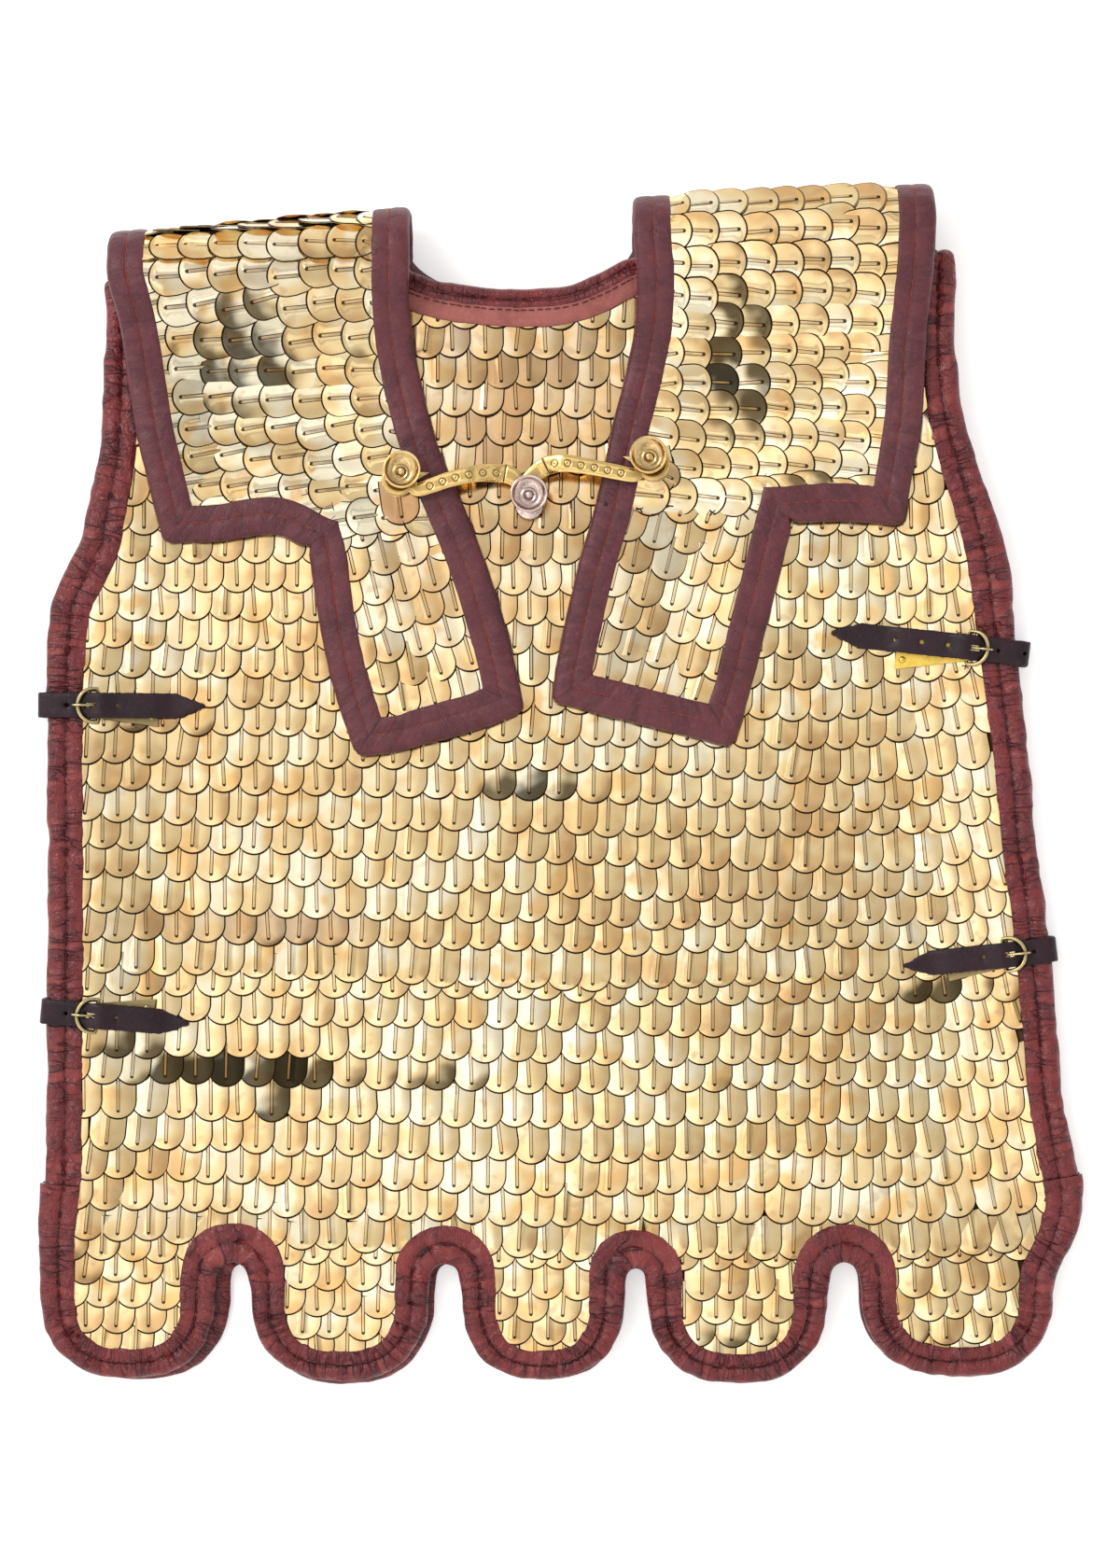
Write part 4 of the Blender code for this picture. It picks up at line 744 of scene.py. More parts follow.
class Line:
    """A dense edge line, the leather on its left. At a mitred corner sections lean towards the corner's own line."""

    def __init__(self, points, corners=(), widths=None, upright=False):
        points = np.asarray(points, float)
        stops = [0, *corners, len(points) - 1]
        places, index, tangents, runs = [], [], [], []
        for number, (a, b) in enumerate(zip(stops, stops[1:])):
            some, share = curve_through(points[a:b + 1], STATION)
            places.append(some)
            index.append(share + a)
            tangents.append(unit_vectors(np.gradient(some, axis=0)))
            runs.append(np.full(len(some), number))
        self.points, self.index = np.vstack(places), np.concatenate(index)
        self.tangents, self.runs = np.vstack(tangents), np.concatenate(runs)
        self.normals = np.column_stack([-self.tangents[:, 1], self.tangents[:, 0]])
        self.at = distances_along(self.points)
        given = np.full(len(points), 20.0) if widths is None else np.broadcast_to(widths, (len(points),))
        self.widths = np.interp(self.index, np.arange(len(points)), given)
        self.lean = np.zeros(len(self.points))
        reach = MITRE_REACH * self.widths
        starts = [int(np.argmax(self.runs == n)) for n in range(len(stops) - 1)]
        ends = [*[s - 1 for s in starts[1:]], len(self.points) - 1]
        for n, (start, end) in enumerate(zip(starts, ends)):
            own = slice(start, end + 1)
            near_start = np.clip(1 - (self.at[own] - self.at[start]) / reach[own], 0, 1)
            near_end = np.clip(1 - (self.at[end] - self.at[own]) / reach[own], 0, 1)
            if n > 0:
                self.lean[own] += self.corner_lean(ends[n - 1], start) * near_start
            elif upright:
                self.lean[own] += self.upright_lean(start) * near_start
            if n < len(starts) - 1:
                self.lean[own] -= self.corner_lean(end, starts[n + 1]) * near_end
            elif upright:
                self.lean[own] += self.upright_lean(end) * near_end

    def corner_lean(self, before, after):
        """Tangent of half the turn at a corner."""
        a, b = self.tangents[before], self.tangents[after]
        turn = math.atan2(a[0] * b[1] - a[1] * b[0], a @ b)
        return math.tan(turn / 2)

    def upright_lean(self, i):
        """The lean that makes a section stand along q, for an end that meets another at a seam."""
        return -self.normals[i, 0] / self.tangents[i, 0]

    def moved_in(self, distance):
        distance = np.broadcast_to(np.asarray(distance, float), (len(self.points),))
        return self.points + distance[:, None] * (self.normals + self.lean[:, None] * self.tangents)


# A hem lobe has this many steps round it, and the valley after it three points.
LOBE_STEPS = 9
LOBE_POINTS = LOBE_STEPS + 4
VALLEY_MIDDLE = LOBE_STEPS + 2
VALLEY_WIDTH = 23.5


def lobe_points(back):
    """The hem from left to right with the binding's width at each point."""
    lobes = [
        (r.middle + (r.back_shift if back else 0), r.half_width, r.bottom - (r.back_drop if back else 0)) for r in HEM
    ]
    points, widths = [], []
    for index, (middle, half, bottom) in enumerate(lobes):
        for step in range(LOBE_STEPS + 1):
            angle = math.pi * step / LOBE_STEPS
            across = -math.copysign(abs(math.cos(angle)) ** (2 / LOBE_POWER), math.cos(angle))
            down = math.sin(angle) ** (2 / LOBE_POWER)
            points.append((middle + half * across, LOBE_TOP + (bottom - LOBE_TOP) * down))
            widths.append(21.5 - 4.0 * down)
        if index + 1 < len(lobes):
            left, right = middle + half, lobes[index + 1][0] - lobes[index + 1][1]
            radius = (right - left) / 2
            for angle in np.radians((135, 90, 45)):
                points.append((left + radius + radius * math.cos(angle), LOBE_TOP + radius * math.sin(angle)))
                widths.append(VALLEY_WIDTH)
    return points, widths


SIDE_WIDTH = table("y width", (-300, 21), (40, 21), (95, 23), (130, 24.5), (175, 23), (215, 21), (300, 20))
BACK_NECK_WIDTH = 18.0
BACK_INSET = 0.5


def fold_points(x, fold, radius, turns):
    """Points round a fold at one x, at these angles in degrees."""
    return [(x, fold + radius * math.radians(t)) for t in turns]


def body_lines(back):
    """The shirt's edge as two lines: sides and hem, then the neck, and the index where the hem starts."""
    inset = BACK_INSET if back else 0.0
    down = (88, 45, 0)
    up = down[::-1]

    def over_fold(x, turns):
        return fold_points(x, BODY_FOLD_Y + float(rise_of(BODY_SHOULDER, x)), BODY_FOLD, turns)

    left = [(r.x + inset, r.y) for r in LEFT_EDGE[:-1]]
    right = [(r.x - inset, r.y) for r in reversed(RIGHT_EDGE[:-1])]
    hem, hem_widths = lobe_points(back)
    left = over_fold(left[0][0], down) + left
    points = left + hem + right + over_fold(right[-1][0], up)
    widths = np.interp([p[1] for p in points], column(SIDE_WIDTH, "y"), column(SIDE_WIDTH, "width"))
    widths[len(left):len(left) + len(hem)] = hem_widths
    neck = over_fold(NECK_RIGHT_X, down)
    neck += [(r.x, r.y) for r in (BACK_NECK if back else FRONT_NECK)]
    neck += over_fold(NECK_LEFT_X, up)
    return Line(points, widths=widths), Line(neck, widths=BACK_NECK_WIDTH if back else NECK_ROLL), len(left)


def doubling_line(left_side):
    """One line round a doubling, from the centre-back seam to the centre-back seam, with its corners."""
    flap = [(r.x, r.y) for r in (LEFT_FLAP if left_side else RIGHT_FLAP)]
    corners = LEFT_CORNERS if left_side else RIGHT_CORNERS
    down = range(180, -1, -30)
    up = down[::-1]

    def fold(x):
        return DOUBLING_FOLD_Y + float(rise_of(DOUBLING_SHOULDER, x))

    def over_fold(x, turns):
        return fold_points(x, fold(x), DOUBLING_FOLD, turns)

    def yoke(x, y=YOKE_EDGE_Y):
        return x, 2 * fold(x) + math.pi * DOUBLING_FOLD - y

    def neck(rows):
        return [(r.x, fold(r.x) + math.pi * DOUBLING_FOLD + r.past) for r in rows]

    if left_side:
        lead = [yoke(CENTRE_BACK_X - GAP / 2), yoke(-140.0), yoke(-262.0), yoke(-265.0, 240.0)]
        lead += over_fold(-268.0, down)
        points = lead + flap + over_fold(-88.5, up) + neck(LEFT_YOKE_NECK)
        stops = [2, *[len(lead) + c for c in corners]]
    else:
        lead = neck(RIGHT_YOKE_NECK) + over_fold(44.0, down)
        points = lead + flap + over_fold(223.0, up) + [yoke(220.0, 240.0)]
        points += [yoke(217.0), yoke(95.0), yoke(CENTRE_BACK_X + GAP / 2)]
        stops = [*[len(lead) + c for c in corners], len(points) - 3]
    return Line(points, stops, DOUBLING_BINDING, upright=True)


# ---------------------------------------------------------------- padded bindings

# Sections round a binding, from the edge that shows: share of the width inwards, and distance out from the leather.
TRIM_TOP = table(
    "share out",
    (0.0, 0.5), (0.012, 1.7), (0.05, 3.0), (0.11, 4.1), (0.19, 4.9), (0.28, 5.2), (0.37, 5.1), (0.45, 4.5),
    (0.505, 3.75), (0.54, 3.3), (0.575, 3.7), (0.63, 4.4), (0.71, 4.9), (0.80, 5.0), (0.89, 4.8), (0.96, 4.45),
    (1.0, 3.95),
)
DOUBLING_TOP = table(
    "share out",
    (0.0, 0.5), (0.012, 1.7), (0.045, 3.0), (0.09, 3.85), (0.16, 4.45), (0.26, 4.75), (0.38, 4.85), (0.47, 4.75),
    (0.52, 4.5), (0.545, 4.3), (0.57, 4.5), (0.63, 4.7), (0.72, 4.8), (0.82, 4.8), (0.91, 4.65), (0.97, 4.4),
    (1.0, 3.95),
)
FLAT_TOP = table(
    "share out",
    (0.0, 0.4), (0.03, 1.7), (0.09, 2.8), (0.2, 3.6), (0.33, 3.85), (0.47, 3.8), (0.54, 3.3), (0.61, 3.8), (0.8, 3.88),
    (0.95, 3.8), (1.0, 3.6),
)
UNDER = table("share out", (0.97, -1.9), (0.82, -2.9), (0.5, -3.4), (0.22, -2.7), (0.06, -1.2))
# Where the slot for the leather's edge starts and ends, and how deep a crease may cut, out from the leather.
SLOT_UNDER_LIP, SLOT_FOOT = 0.25, -1.3
SLOT_SPARE = 0.6
DEEPEST_CREASE = -1.15
FLOOR_CLEAR = 0.02


def creases(at, share, width, seed, spacing, depth, bends=()):
    """Soft troughs across a binding, uneven in place, slant, breadth and depth, and deeper ones in the bends."""
    rng = np.random.default_rng(seed)
    made = np.zeros(share.shape)
    places = np.arange(at[0], at[-1], spacing)
    places = places + rng.uniform(-0.5, 0.5, len(places)) * spacing
    rows = [
        (p, rng.uniform(-0.45, 0.45), rng.uniform(0.8, 2.0), depth * rng.uniform(0.15, 1.0), rng.uniform(0.1, 0.9))
        for p in places
    ]
    places = np.arange(at[0] + 5, at[-1], 1.9 * spacing)
    for p in places + rng.uniform(-0.4, 0.4, len(places)) * spacing:
        slant, broad = rng.uniform(-0.8, 0.8), rng.uniform(2.4, 4.2)
        rows.append((p, slant, broad, 0.75 * depth * rng.uniform(0.2, 1.0), rng.choice([0.2, 0.8])))
    for bend, breadth, strength in bends:
        for shift in np.arange(-breadth, breadth + 0.1, breadth / 2):
            spot = bend + shift + rng.uniform(-2, 2)
            rows.append((spot, rng.uniform(-0.3, 0.3), rng.uniform(1.0, 1.8), strength, 0.72))
    for spot, slant, broad, deep, centre in rows:
        near = np.abs(at - spot) < 14
        across = (at[near, None] - spot) - slant * (share[near] - 0.5) * width[near, None]
        hold = np.exp(-(((share[near] - centre) / 0.42) ** 2))
        made[near] -= deep * np.exp(-((across / broad) ** 2)) * hold
        made[near] += 0.45 * deep * np.exp(-(((across - 1.7 * broad) / (1.1 * broad)) ** 2)) * hold
    return made


def section(share, out):
    """A binding's whole section from its top: then the slot's two corners, and the underside."""
    return (
        np.array([*share, 1.0, 1.0, *column(UNDER, "share")]),
        np.array([*out, out[-1] - SLOT_UNDER_LIP, SLOT_FOOT, *column(UNDER, "out")]),
    )


def binding(
    line, first, last, place, top, seed, depth, spacing, bends=(), flat=None, slim=0.0, swell=0.0, round_ends=0.0
):
    """Points and faces of a padded binding over a range of a line's stations, with its slot for the leather's edge.

    The third result says for each point how far it is along and across the binding, for the leather's creases.
    Flat gives the stations that rest on the floor. The ends may be slim, to lie under a lap, or swell over one.
    """
    own = slice(first, last + 1)
    at, width = line.at[own], line.widths[own]
    lean = line.normals[own] + line.lean[own, None] * line.tangents[own]
    share, out = section(column(top, "share"), column(top, "out"))
    shares = np.repeat(share[None], len(at), 0)
    outs = np.repeat(out[None], len(at), 0)
    if flat is not None and flat[own].any():
        even, given = np.linspace(0, 1, len(top)), np.linspace(0, 1, len(FLAT_TOP))
        flat_share, flat_out = section(*(np.interp(even, given, column(FLAT_TOP, name)) for name in ("share", "out")))
        blend = np.convolve(np.pad(flat[own].astype(float), 6, "edge"), np.ones(13) / 13, "valid")
        blend = smooth(blend, 0, 1)[:, None]
        shares = shares * (1 - blend) + flat_share * blend
        outs = outs * (1 - blend) + flat_out * blend

    def waves(*pairs):
        """Uneven waves along the binding: (weight, spacing, number after the seed)."""
        made = 0
        for weight, apart, number in pairs:
            made = made + weight * wobble(at, apart, seed + number)
        return made[:, None]

    shown = np.arange(shares.shape[1]) < len(top)
    made = creases(at, shares, width, seed, spacing, depth, bends)
    made += waves((0.30 * depth, 9.0, 1)) + waves((0.45 * depth, 28.0, 2))
    made += waves((0.25 * depth, 5.0, 5)) * np.sin(3.1 * shares + seed)
    lively = shown * smooth(shares, 0.0, 0.12) * smooth(shares, 1.02, 0.9)
    outs = outs + np.maximum(made, DEEPEST_CREASE) * lively
    outer = np.exp(-((shares / 0.25) ** 2))
    inner = smooth(shares, 0.85, 1.0) * shown
    to_end = np.minimum(at - at[0], at[-1] - at)
    inward = shares * width[:, None]
    inward = inward + outer * 0.55 * depth * waves((1, 17.0, 3), (0.6, 6.0, 4))
    inward = inward + inner * 0.6 * depth * waves((1, 8.0, 6), (0.5, 3.5, 7))
    inward = inward + round_ends * outer * smooth(to_end, 5.0, 0.0)[:, None]
    if slim or swell:
        grow = swell * smooth(to_end, 60, 0)
        outs = outs + shown * lively * 0.25 * grow[:, None] * (outs > 0)
        inward = inward - outer * grow[:, None]
        outs = outs * (1 - slim * smooth(to_end, 14, 0)[:, None] * (shares < 0.9))
    spots = line.points[own][:, None] + inward[..., None] * lean[:, None]
    points = place(spots[..., 0], spots[..., 1], outs)
    slot = (line.points[own] + (width - TUCK - SLOT_SPARE)[:, None] * lean)[:, None]
    lip = len(top)
    slot_points = place(np.repeat(slot[..., 0], 2, 1), np.repeat(slot[..., 1], 2, 1), outs[:, lip:lip + 2])
    rings = np.concatenate([points[:, :lip + 1], slot_points, points[:, lip + 1:]], 1)
    rings[..., 2] = np.maximum(rings[..., 2], FLOOR_CLEAR)
    run = np.stack([np.repeat(at[:, None], shares.shape[1], 1), inward, np.ones_like(inward)], -1)
    run = np.concatenate([run[:, :lip + 1], run[:, :2], run[:, lip + 1:]], 1)
    return *swept(rings), run.reshape(-1, 3)


STITCH_ROUND = np.array([(-0.5, 0.0), (-0.42, 0.75), (-0.15, 1.0), (0.15, 1.0), (0.42, 0.75), (0.5, 0.0)])


def stitches(line, first, last, place, share, out, pitch, length, thick, seed, lift=None):
    """Points and faces of a row of stitches in a binding's channel."""
    rng = np.random.default_rng(seed)
    at = line.at
    parts = []
    for spot in np.arange(at[first] + pitch, at[last] - pitch, pitch):
        spot = spot + rng.uniform(-0.12, 0.12) * pitch
        ends = []
        for way in (-0.5, 0.5):
            here = spot + way * length
            x, q = (np.interp(here, at, line.points[:, k]) for k in (0, 1))
            nx, nq = (np.interp(here, at, line.normals[:, k] + line.lean * line.tangents[:, k]) for k in (0, 1))
            sunk = share * np.interp(here, at, line.widths) + rng.uniform(-0.25, 0.25)
            height = out if lift is None else out + np.interp(here, at, lift)
            ends.append(place(x + nx * sunk, q + nq * sunk, height))
        a, b = ends
        up = place(x + nx * sunk, q + nq * sunk, height + 1.0) - b
        run = b - a
        side = unit_vectors(np.cross(run, up))
        angles = np.pi * np.arange(5) / 2.5
        rings = []
        for share_along, full in STITCH_ROUND:
            middle = (a + b) / 2 + run * share_along * 1.08 + up * 0.35 * thick * full
            radius = thick * (0.25 + 0.75 * full) / 2
            rings.append(middle + radius * (np.cos(angles)[:, None] * side + np.sin(angles)[:, None] * up))
        parts.append(swept(rings))
    return joined(parts)


def bound(name, made, run, material, slot, stands_for, fill):
    """A padded binding as a mesh piece, in place of its part."""
    piece = add_piece(name, *made, material, slot, [stands_for], sharp=50, run=run)


# The hem's binding laps over the sides' ends at these heights, and they run on this far under it.
LAP_LEFT_Y, LAP_RIGHT_Y, LAP = -243.0, -238.0, 16
# The neck's binding has fainter creases than the others.
NECK_CALM = (1, 1, 0.45)
OUTLINES = {}


def body_trim(label, back):
    """The bindings round one panel of the shirt: two sides, the hem that laps over them, and the neck."""
    sides, neck, hem_first = body_lines(back)
    place = ON_BACK if back else ON_FRONT
    top = FLAT_TOP if back else TRIM_TOP
    count = len(sides.points)
    half = count // 2

    def station(part, y):
        return part.start + int(np.argmin(np.abs(sides.points[part, 1] - y)))

    left, right = slice(0, half), slice(half, count)
    depth = 0.8 if back else 1.35
    bends = []
    for lobe in range(len(HEM)):
        places = [(LOBE_STEPS * share, 9.0, 0.8 * depth) for share in (0.2, 0.8)]
        if lobe + 1 < len(HEM):
            places.append((VALLEY_MIDDLE, 12.0, 0.9 * depth))
        for step, breadth, strength in places:
            spot = float(np.interp(hem_first + lobe * LOBE_POINTS + step, sides.index, sides.at))
            bends.append((spot, breadth, strength))
    seeds = 500 if back else 100
    runs = (
        ("left", 0, station(left, LAP_LEFT_Y - LAP), 9.0, dict(slim=0.35)),
        ("hem", station(left, LAP_LEFT_Y), station(right, LAP_RIGHT_Y), 7.0, dict(bends=bends, swell=2.6)),
        ("right", station(right, LAP_RIGHT_Y - LAP), count - 1, 9.0, dict(slim=0.35)),
    )
    for number, (name, first, last, spacing, ends) in enumerate(runs):
        *made, run = binding(sides, first, last, place, top, seeds + 10 * number, depth, spacing, **ends)
        bound(f"trim_{label}_{name}", made, run, TRIM_LEATHER, "shirt_binding", f"{label}_binding_{name}", 0.6)
    *made, run = binding(neck, 0, len(neck.points) - 1, place, top, seeds + 50, depth=0.5 * depth, spacing=10.0)
    bound(f"trim_{label}_neck", made, run * NECK_CALM, TRIM_LEATHER, "shirt_binding", f"{label}_binding_neck", 0.5)
    sewn = stitches(
        sides, 4, count - 5, place, share=0.54, out=3.3 if back else 3.35, pitch=6.2, length=4.0, thick=0.7,
        seed=seeds + 60,
    )
    add_piece(f"trim_{label}_stitches", *sewn, DARK_THREAD, "shirt_binding")
    OUTLINES[label] = (sides, neck)


# ---------------------------------------------------------------- leather walls


# How far a wall's edge lies in from its binding's inner edge, on the way to the slot.
WALL_INSET = TUCK - 0.3


def leather_wall(name, loop, place, material, slot, replaced, rests_on, spacing=11.0):
    """A leather wall over a closed outline."""
    low, high = loop.min(0), loop.max(0)
    thin = loop[::2]
    x, q = np.meshgrid(np.arange(low[0] + 3, high[0], spacing), np.arange(low[1] + 3, high[1], spacing))
    dots = np.column_stack([x.ravel(), q.ravel()])
    dots = dots[inside_of(thin, dots)]
    dots = dots[distance_to(np.vstack([thin, thin[:1]]), dots[:, 0], dots[:, 1]) > 2.0]
    flat = tiles_within(tiles([thin], [], dots), thin)
    piece = add_piece(name, *shell(flat, place, -FACE, FACE), material, slot, replaced)
    area = float(abs(area_inside(thin))) * MM * MM
    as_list(rests_on)


# ---------------------------------------------------------------- scales

SCALE_LENGTH, SCALE_HALF, SCALE_SHEET = 28.0, 11.2, 0.55
SLOPE, ROLL, SCALE_BASE = 0.072, 0.045, 1.08
RIB_FROM, RIB_END, RIB_ROUND = 1.2, 4.2, 1.0
RIB_FOOT, RIB_CREST, RIB_HEIGHT = 1.2, 0.55, 0.45
BOW, TIP_BEND = 0.0042, 0.0011


def scale_unit(length, fine, oval=0.0):
    """One scale lying flat: (across, along from its top end), height, faces, shape attribute, which points are below.

    Its sides are straight, or oval towards the root, and its tip is round. The rib is raised, and the sheet is bowed a
    little across.
    """
    reach = length - SCALE_HALF
    rib_end = length - RIB_END - RIB_ROUND

    def arc(radius, middle, steps):
        return [(radius * math.cos(a), middle + radius * math.sin(a)) for a in np.linspace(math.pi, 0, steps + 1)]

    def ring(inset):
        r = SCALE_HALF - inset
        sides = []
        for t in (reach * 0.7, reach * 0.35, 0.0 if inset == 0 else 0.25):
            sides.append((r * math.sqrt(1 - (oval * (reach - t) / reach) ** 2), t))
        return [*[(-w, t) for w, t in reversed(sides)], *arc(r, reach, 16 if fine else 6), *sides]

    def rib_ring(wide):
        return [(-wide, RIB_FROM), *arc(wide, rib_end, 4 if fine else 2), (wide, RIB_FROM)]

    loops = [ring(e) for e in ((0.0, 0.32, 0.80, 2.4) if fine else (0.0, 0.8))]
    loops += [rib_ring(w) for w in ((RIB_FOOT, RIB_CREST) if fine else (RIB_FOOT,))]
    dots = [(u, t) for u in (-7.4, -4.2, 4.2, 7.4) for t in (5.0, 10.5, 16.0, 20.5)] if fine else []
    points, faces = tiles_within(tiles(loops, [], dots), ring(0.0))
    u, t = points.T
    slim = np.sqrt(1 - (oval * np.clip(reach - t, 0, None) / reach) ** 2)
    inset = np.where(t > reach, SCALE_HALF - np.hypot(u, t - reach), SCALE_HALF * slim - np.abs(u))
    to_rib = distance_to(np.array([(0.0, RIB_FROM), (0.0, rib_end)]), u, t)
    crest = smooth(to_rib, RIB_FOOT, RIB_CREST) if fine else (to_rib < 0.2) * 1.0
    height = -BOW * u * u - 0.30 * smooth(inset, 0.32, 0.0) + RIB_HEIGHT * crest
    height -= TIP_BEND * np.maximum(t - (length - 9), 0) ** 2
    shape = np.column_stack([np.clip(inset, 0, 4), t / length, crest])
    border = open_sides(faces)
    order, following = [int(border[0, 0])], dict(border.tolist())
    while following[order[-1]] != order[0]:
        order.append(following[order[-1]])
    order = np.array(order)
    count, rim = len(points), len(order)
    under = points[order]
    _, under_faces = tiles([under], [], [])
    under_faces = under_faces[inside_of(under, under[under_faces].mean(1))][:, ::-1] + count
    beside = np.roll(np.arange(rim), -1)
    sides = np.column_stack([order[beside], order, count + np.arange(rim), count + beside])
    under_shape = np.column_stack([np.full(rim, 1.2), under[:, 1] / length, np.zeros(rim)])
    return (
        np.vstack([points, under]), np.concatenate([height, height[order] - SCALE_SHEET + 0.1]),
        [np.vstack([faces, under_faces]), sides], np.vstack([shape, under_shape]), np.arange(count + rim) >= count,
    )


def signed_inside(loop, x, q):
    """Distance inside a closed loop (negative outside) and the nearest point on it."""
    best, nearest = np.full(len(x), 1e9), np.zeros((len(x), 2))
    for (x0, q0), (dx, dq) in zip(loop, np.roll(loop, -1, axis=0) - loop):
        t = np.clip(((x - x0) * dx + (q - q0) * dq) / max(dx * dx + dq * dq, 1e-9), 0, 1)
        px, pq = x0 + t * dx, q0 + t * dq
        away = np.hypot(x - px, q - pq)
        closer = away < best
        best[closer] = away[closer]
        nearest[closer] = np.column_stack([px, pq])[closer]
    return np.where(inside_of(loop, np.column_stack([x, q])), 1.0, -1.0) * best, nearest


Spots = namedtuple("Spots", "x q heading tilt roll copper dark")
HIGHEST = 3.85
FREE = 99.0
SCALES_CLEAR = 0.05
# Highest that scales rise where they go under a binding's lip: on show, and where nobody looks.
LIP, HIDDEN_LIP = 3.7, 3.3
# From this far inside the window they may rise at this slope, and further in the lip holds nothing down.
LIP_REACH, LIP_SLOPE, CLEAR_OF_LIP = 6.5, 0.25, 13


def place_scales(
    unit, spots, surface, side, window,
    lip=LIP, base=SCALE_BASE, slope=SLOPE, stretch=None, flare=None, least=0.0,
):
    """Scales on a surface. Spots give each tip's place, heading and tilts. Nothing reaches past the window's loop.

    Each scale lies over the neighbour on its left-hand side looking down its length. Flare turns stiff scales on a
    tight fold, so that one side stands off and the other stays under its neighbour. Least is the palest chance tone.
    """
    flat, height, faces, shape, below = unit
    total, count = len(spots.x), len(flat)
    u, t = flat.T
    length = t.max()
    t_here = (t - length / 2)[None]

    def per_scale(value, usual):
        return np.broadcast_to(usual if value is None else value, (total,))[:, None]

    base, broad, flare = per_scale(base, base), per_scale(stretch, 1.0), per_scale(flare, 0.0)
    heading = np.stack([np.sin(spots.heading), -np.cos(spots.heading)], -1)
    centre = np.column_stack([spots.x, spots.q]) - heading * length / 2
    across, up, normal = directions(surface, side, centre[:, 0], centre[:, 1], 4.0)
    along = unit_vectors(heading[:, :1] * across + heading[:, 1:] * up)
    beside = np.cross(normal, along)
    rng = np.random.default_rng(total)
    lift = (
        base + height[None] + (slope + spots.tilt[:, None]) * t[None] + ROLL * (u[None] + SCALE_HALF)
        + spots.roll[:, None] * u[None] + np.abs(spots.roll[:, None]) * SCALE_HALF + flare * u[None]
    )
    bulge = rng.uniform(0.3, 1.0, (total, 1)) * 0.07
    lift = lift + bulge * np.sin(0.24 * u[None] + spots.x[:, None]) * np.sin(0.19 * t[None] + spots.q[:, None])
    lift = np.minimum(lift, np.where(flare > 0, FREE, HIGHEST + base - SCALE_BASE))
    turn = np.stack([-heading[:, 1], heading[:, 0]], -1) * (1 if side > 0 else -1)
    place_x = centre[:, :1] + t_here * heading[:, :1] + broad * u[None] * turn[:, :1]
    place_q = centre[:, 1:] + t_here * heading[:, 1:] + broad * u[None] * turn[:, 1:]
    # Points past the window's loop move to it, and scales that lie wholly past it are left out.
    shift_u, shift_t = np.zeros_like(place_x), np.zeros_like(place_x)
    keep = np.ones(place_x.shape, bool)
    most = np.full(place_x.shape, FREE)
    near = signed_inside(window, centre[:, 0], centre[:, 1])[0] < length
    if near.any():
        depth, nearest = signed_inside(window, place_x[near].ravel(), place_q[near].ravel())
        out = (depth < 0).reshape(-1, count)
        move = (nearest.reshape(-1, count, 2) - np.stack([place_x[near], place_q[near]], -1)) * out[..., None]
        shift_t[near] = (move * heading[near][:, None]).sum(-1)
        shift_u[near] = (move * turn[near][:, None]).sum(-1)
        place_x[near] += move[..., 0]
        place_q[near] += move[..., 1]
        keep[near] = ~out
        rise = np.where(depth < CLEAR_OF_LIP, LIP_SLOPE, FREE) * np.maximum(depth - LIP_REACH, 0)
        most[near] = (lip + rise).reshape(-1, count)
    points = (
        surface(centre[:, 0], centre[:, 1])[:, None]
        + (t[None, :, None] - length / 2 + shift_t[..., None]) * along[:, None]
        + (broad[..., None] * u[None, :, None] + shift_u[..., None]) * beside[:, None]
        + lift[..., None] * normal[:, None]
    )
    # Nothing sinks into the leather, and nothing rises through a binding's lip.
    away_from = directions(surface, side, place_x, place_q, NEARBY)[2]
    away = ((points - surface(place_x, place_q)) * away_from).sum(-1)
    most = most - 0.3 * below[None]
    held = np.clip(away, np.minimum(FACE + 0.14 - 0.1 * below[None], most), most)
    points += (held - away)[..., None] * away_from
    lists = []
    for f in faces:
        whole = (f[None] + (np.arange(total) * count)[:, None, None]).reshape(-1, f.shape[1])
        lists.append(whole[keep.ravel()[whole].any(1)])

    def repeated(*values):
        """Three numbers at each point, from numbers for each scale or for each of its points."""
        return np.stack([np.broadcast_to(v, (total, count)) for v in values], -1).reshape(-1, 3)

    tone = repeated(spots.copper[:, None], spots.dark[:, None], rng.uniform(least, 1, (total, 1)))
    luck = rng.uniform(0, 1, (total, 1))
    spread = repeated(u[None] / SCALE_HALF, luck, np.clip(3.0 * np.abs(flare), 0, 1))
    return points.reshape(-1, 3), lists, repeated(*shape.T), tone, spread


def scale_piece(name, groups, replaced=()):
    """One piece from several groups of placed scales, with only the points that faces use."""
    points, lists = joined([group[:2] for group in groups])
    used = np.unique(np.concatenate([f.ravel() for f in lists]))
    order = np.full(len(points), -1)
    order[used] = np.arange(len(used))
    values = {label: np.vstack([g[k] for g in groups])[used] for k, label in ((2, "shape"), (3, "tone"), (4, "spread"))}
    add_piece(name, points[used], [order[f] for f in lists], SCALE_BRASS, "scales", replaced, sharp=32, **values)


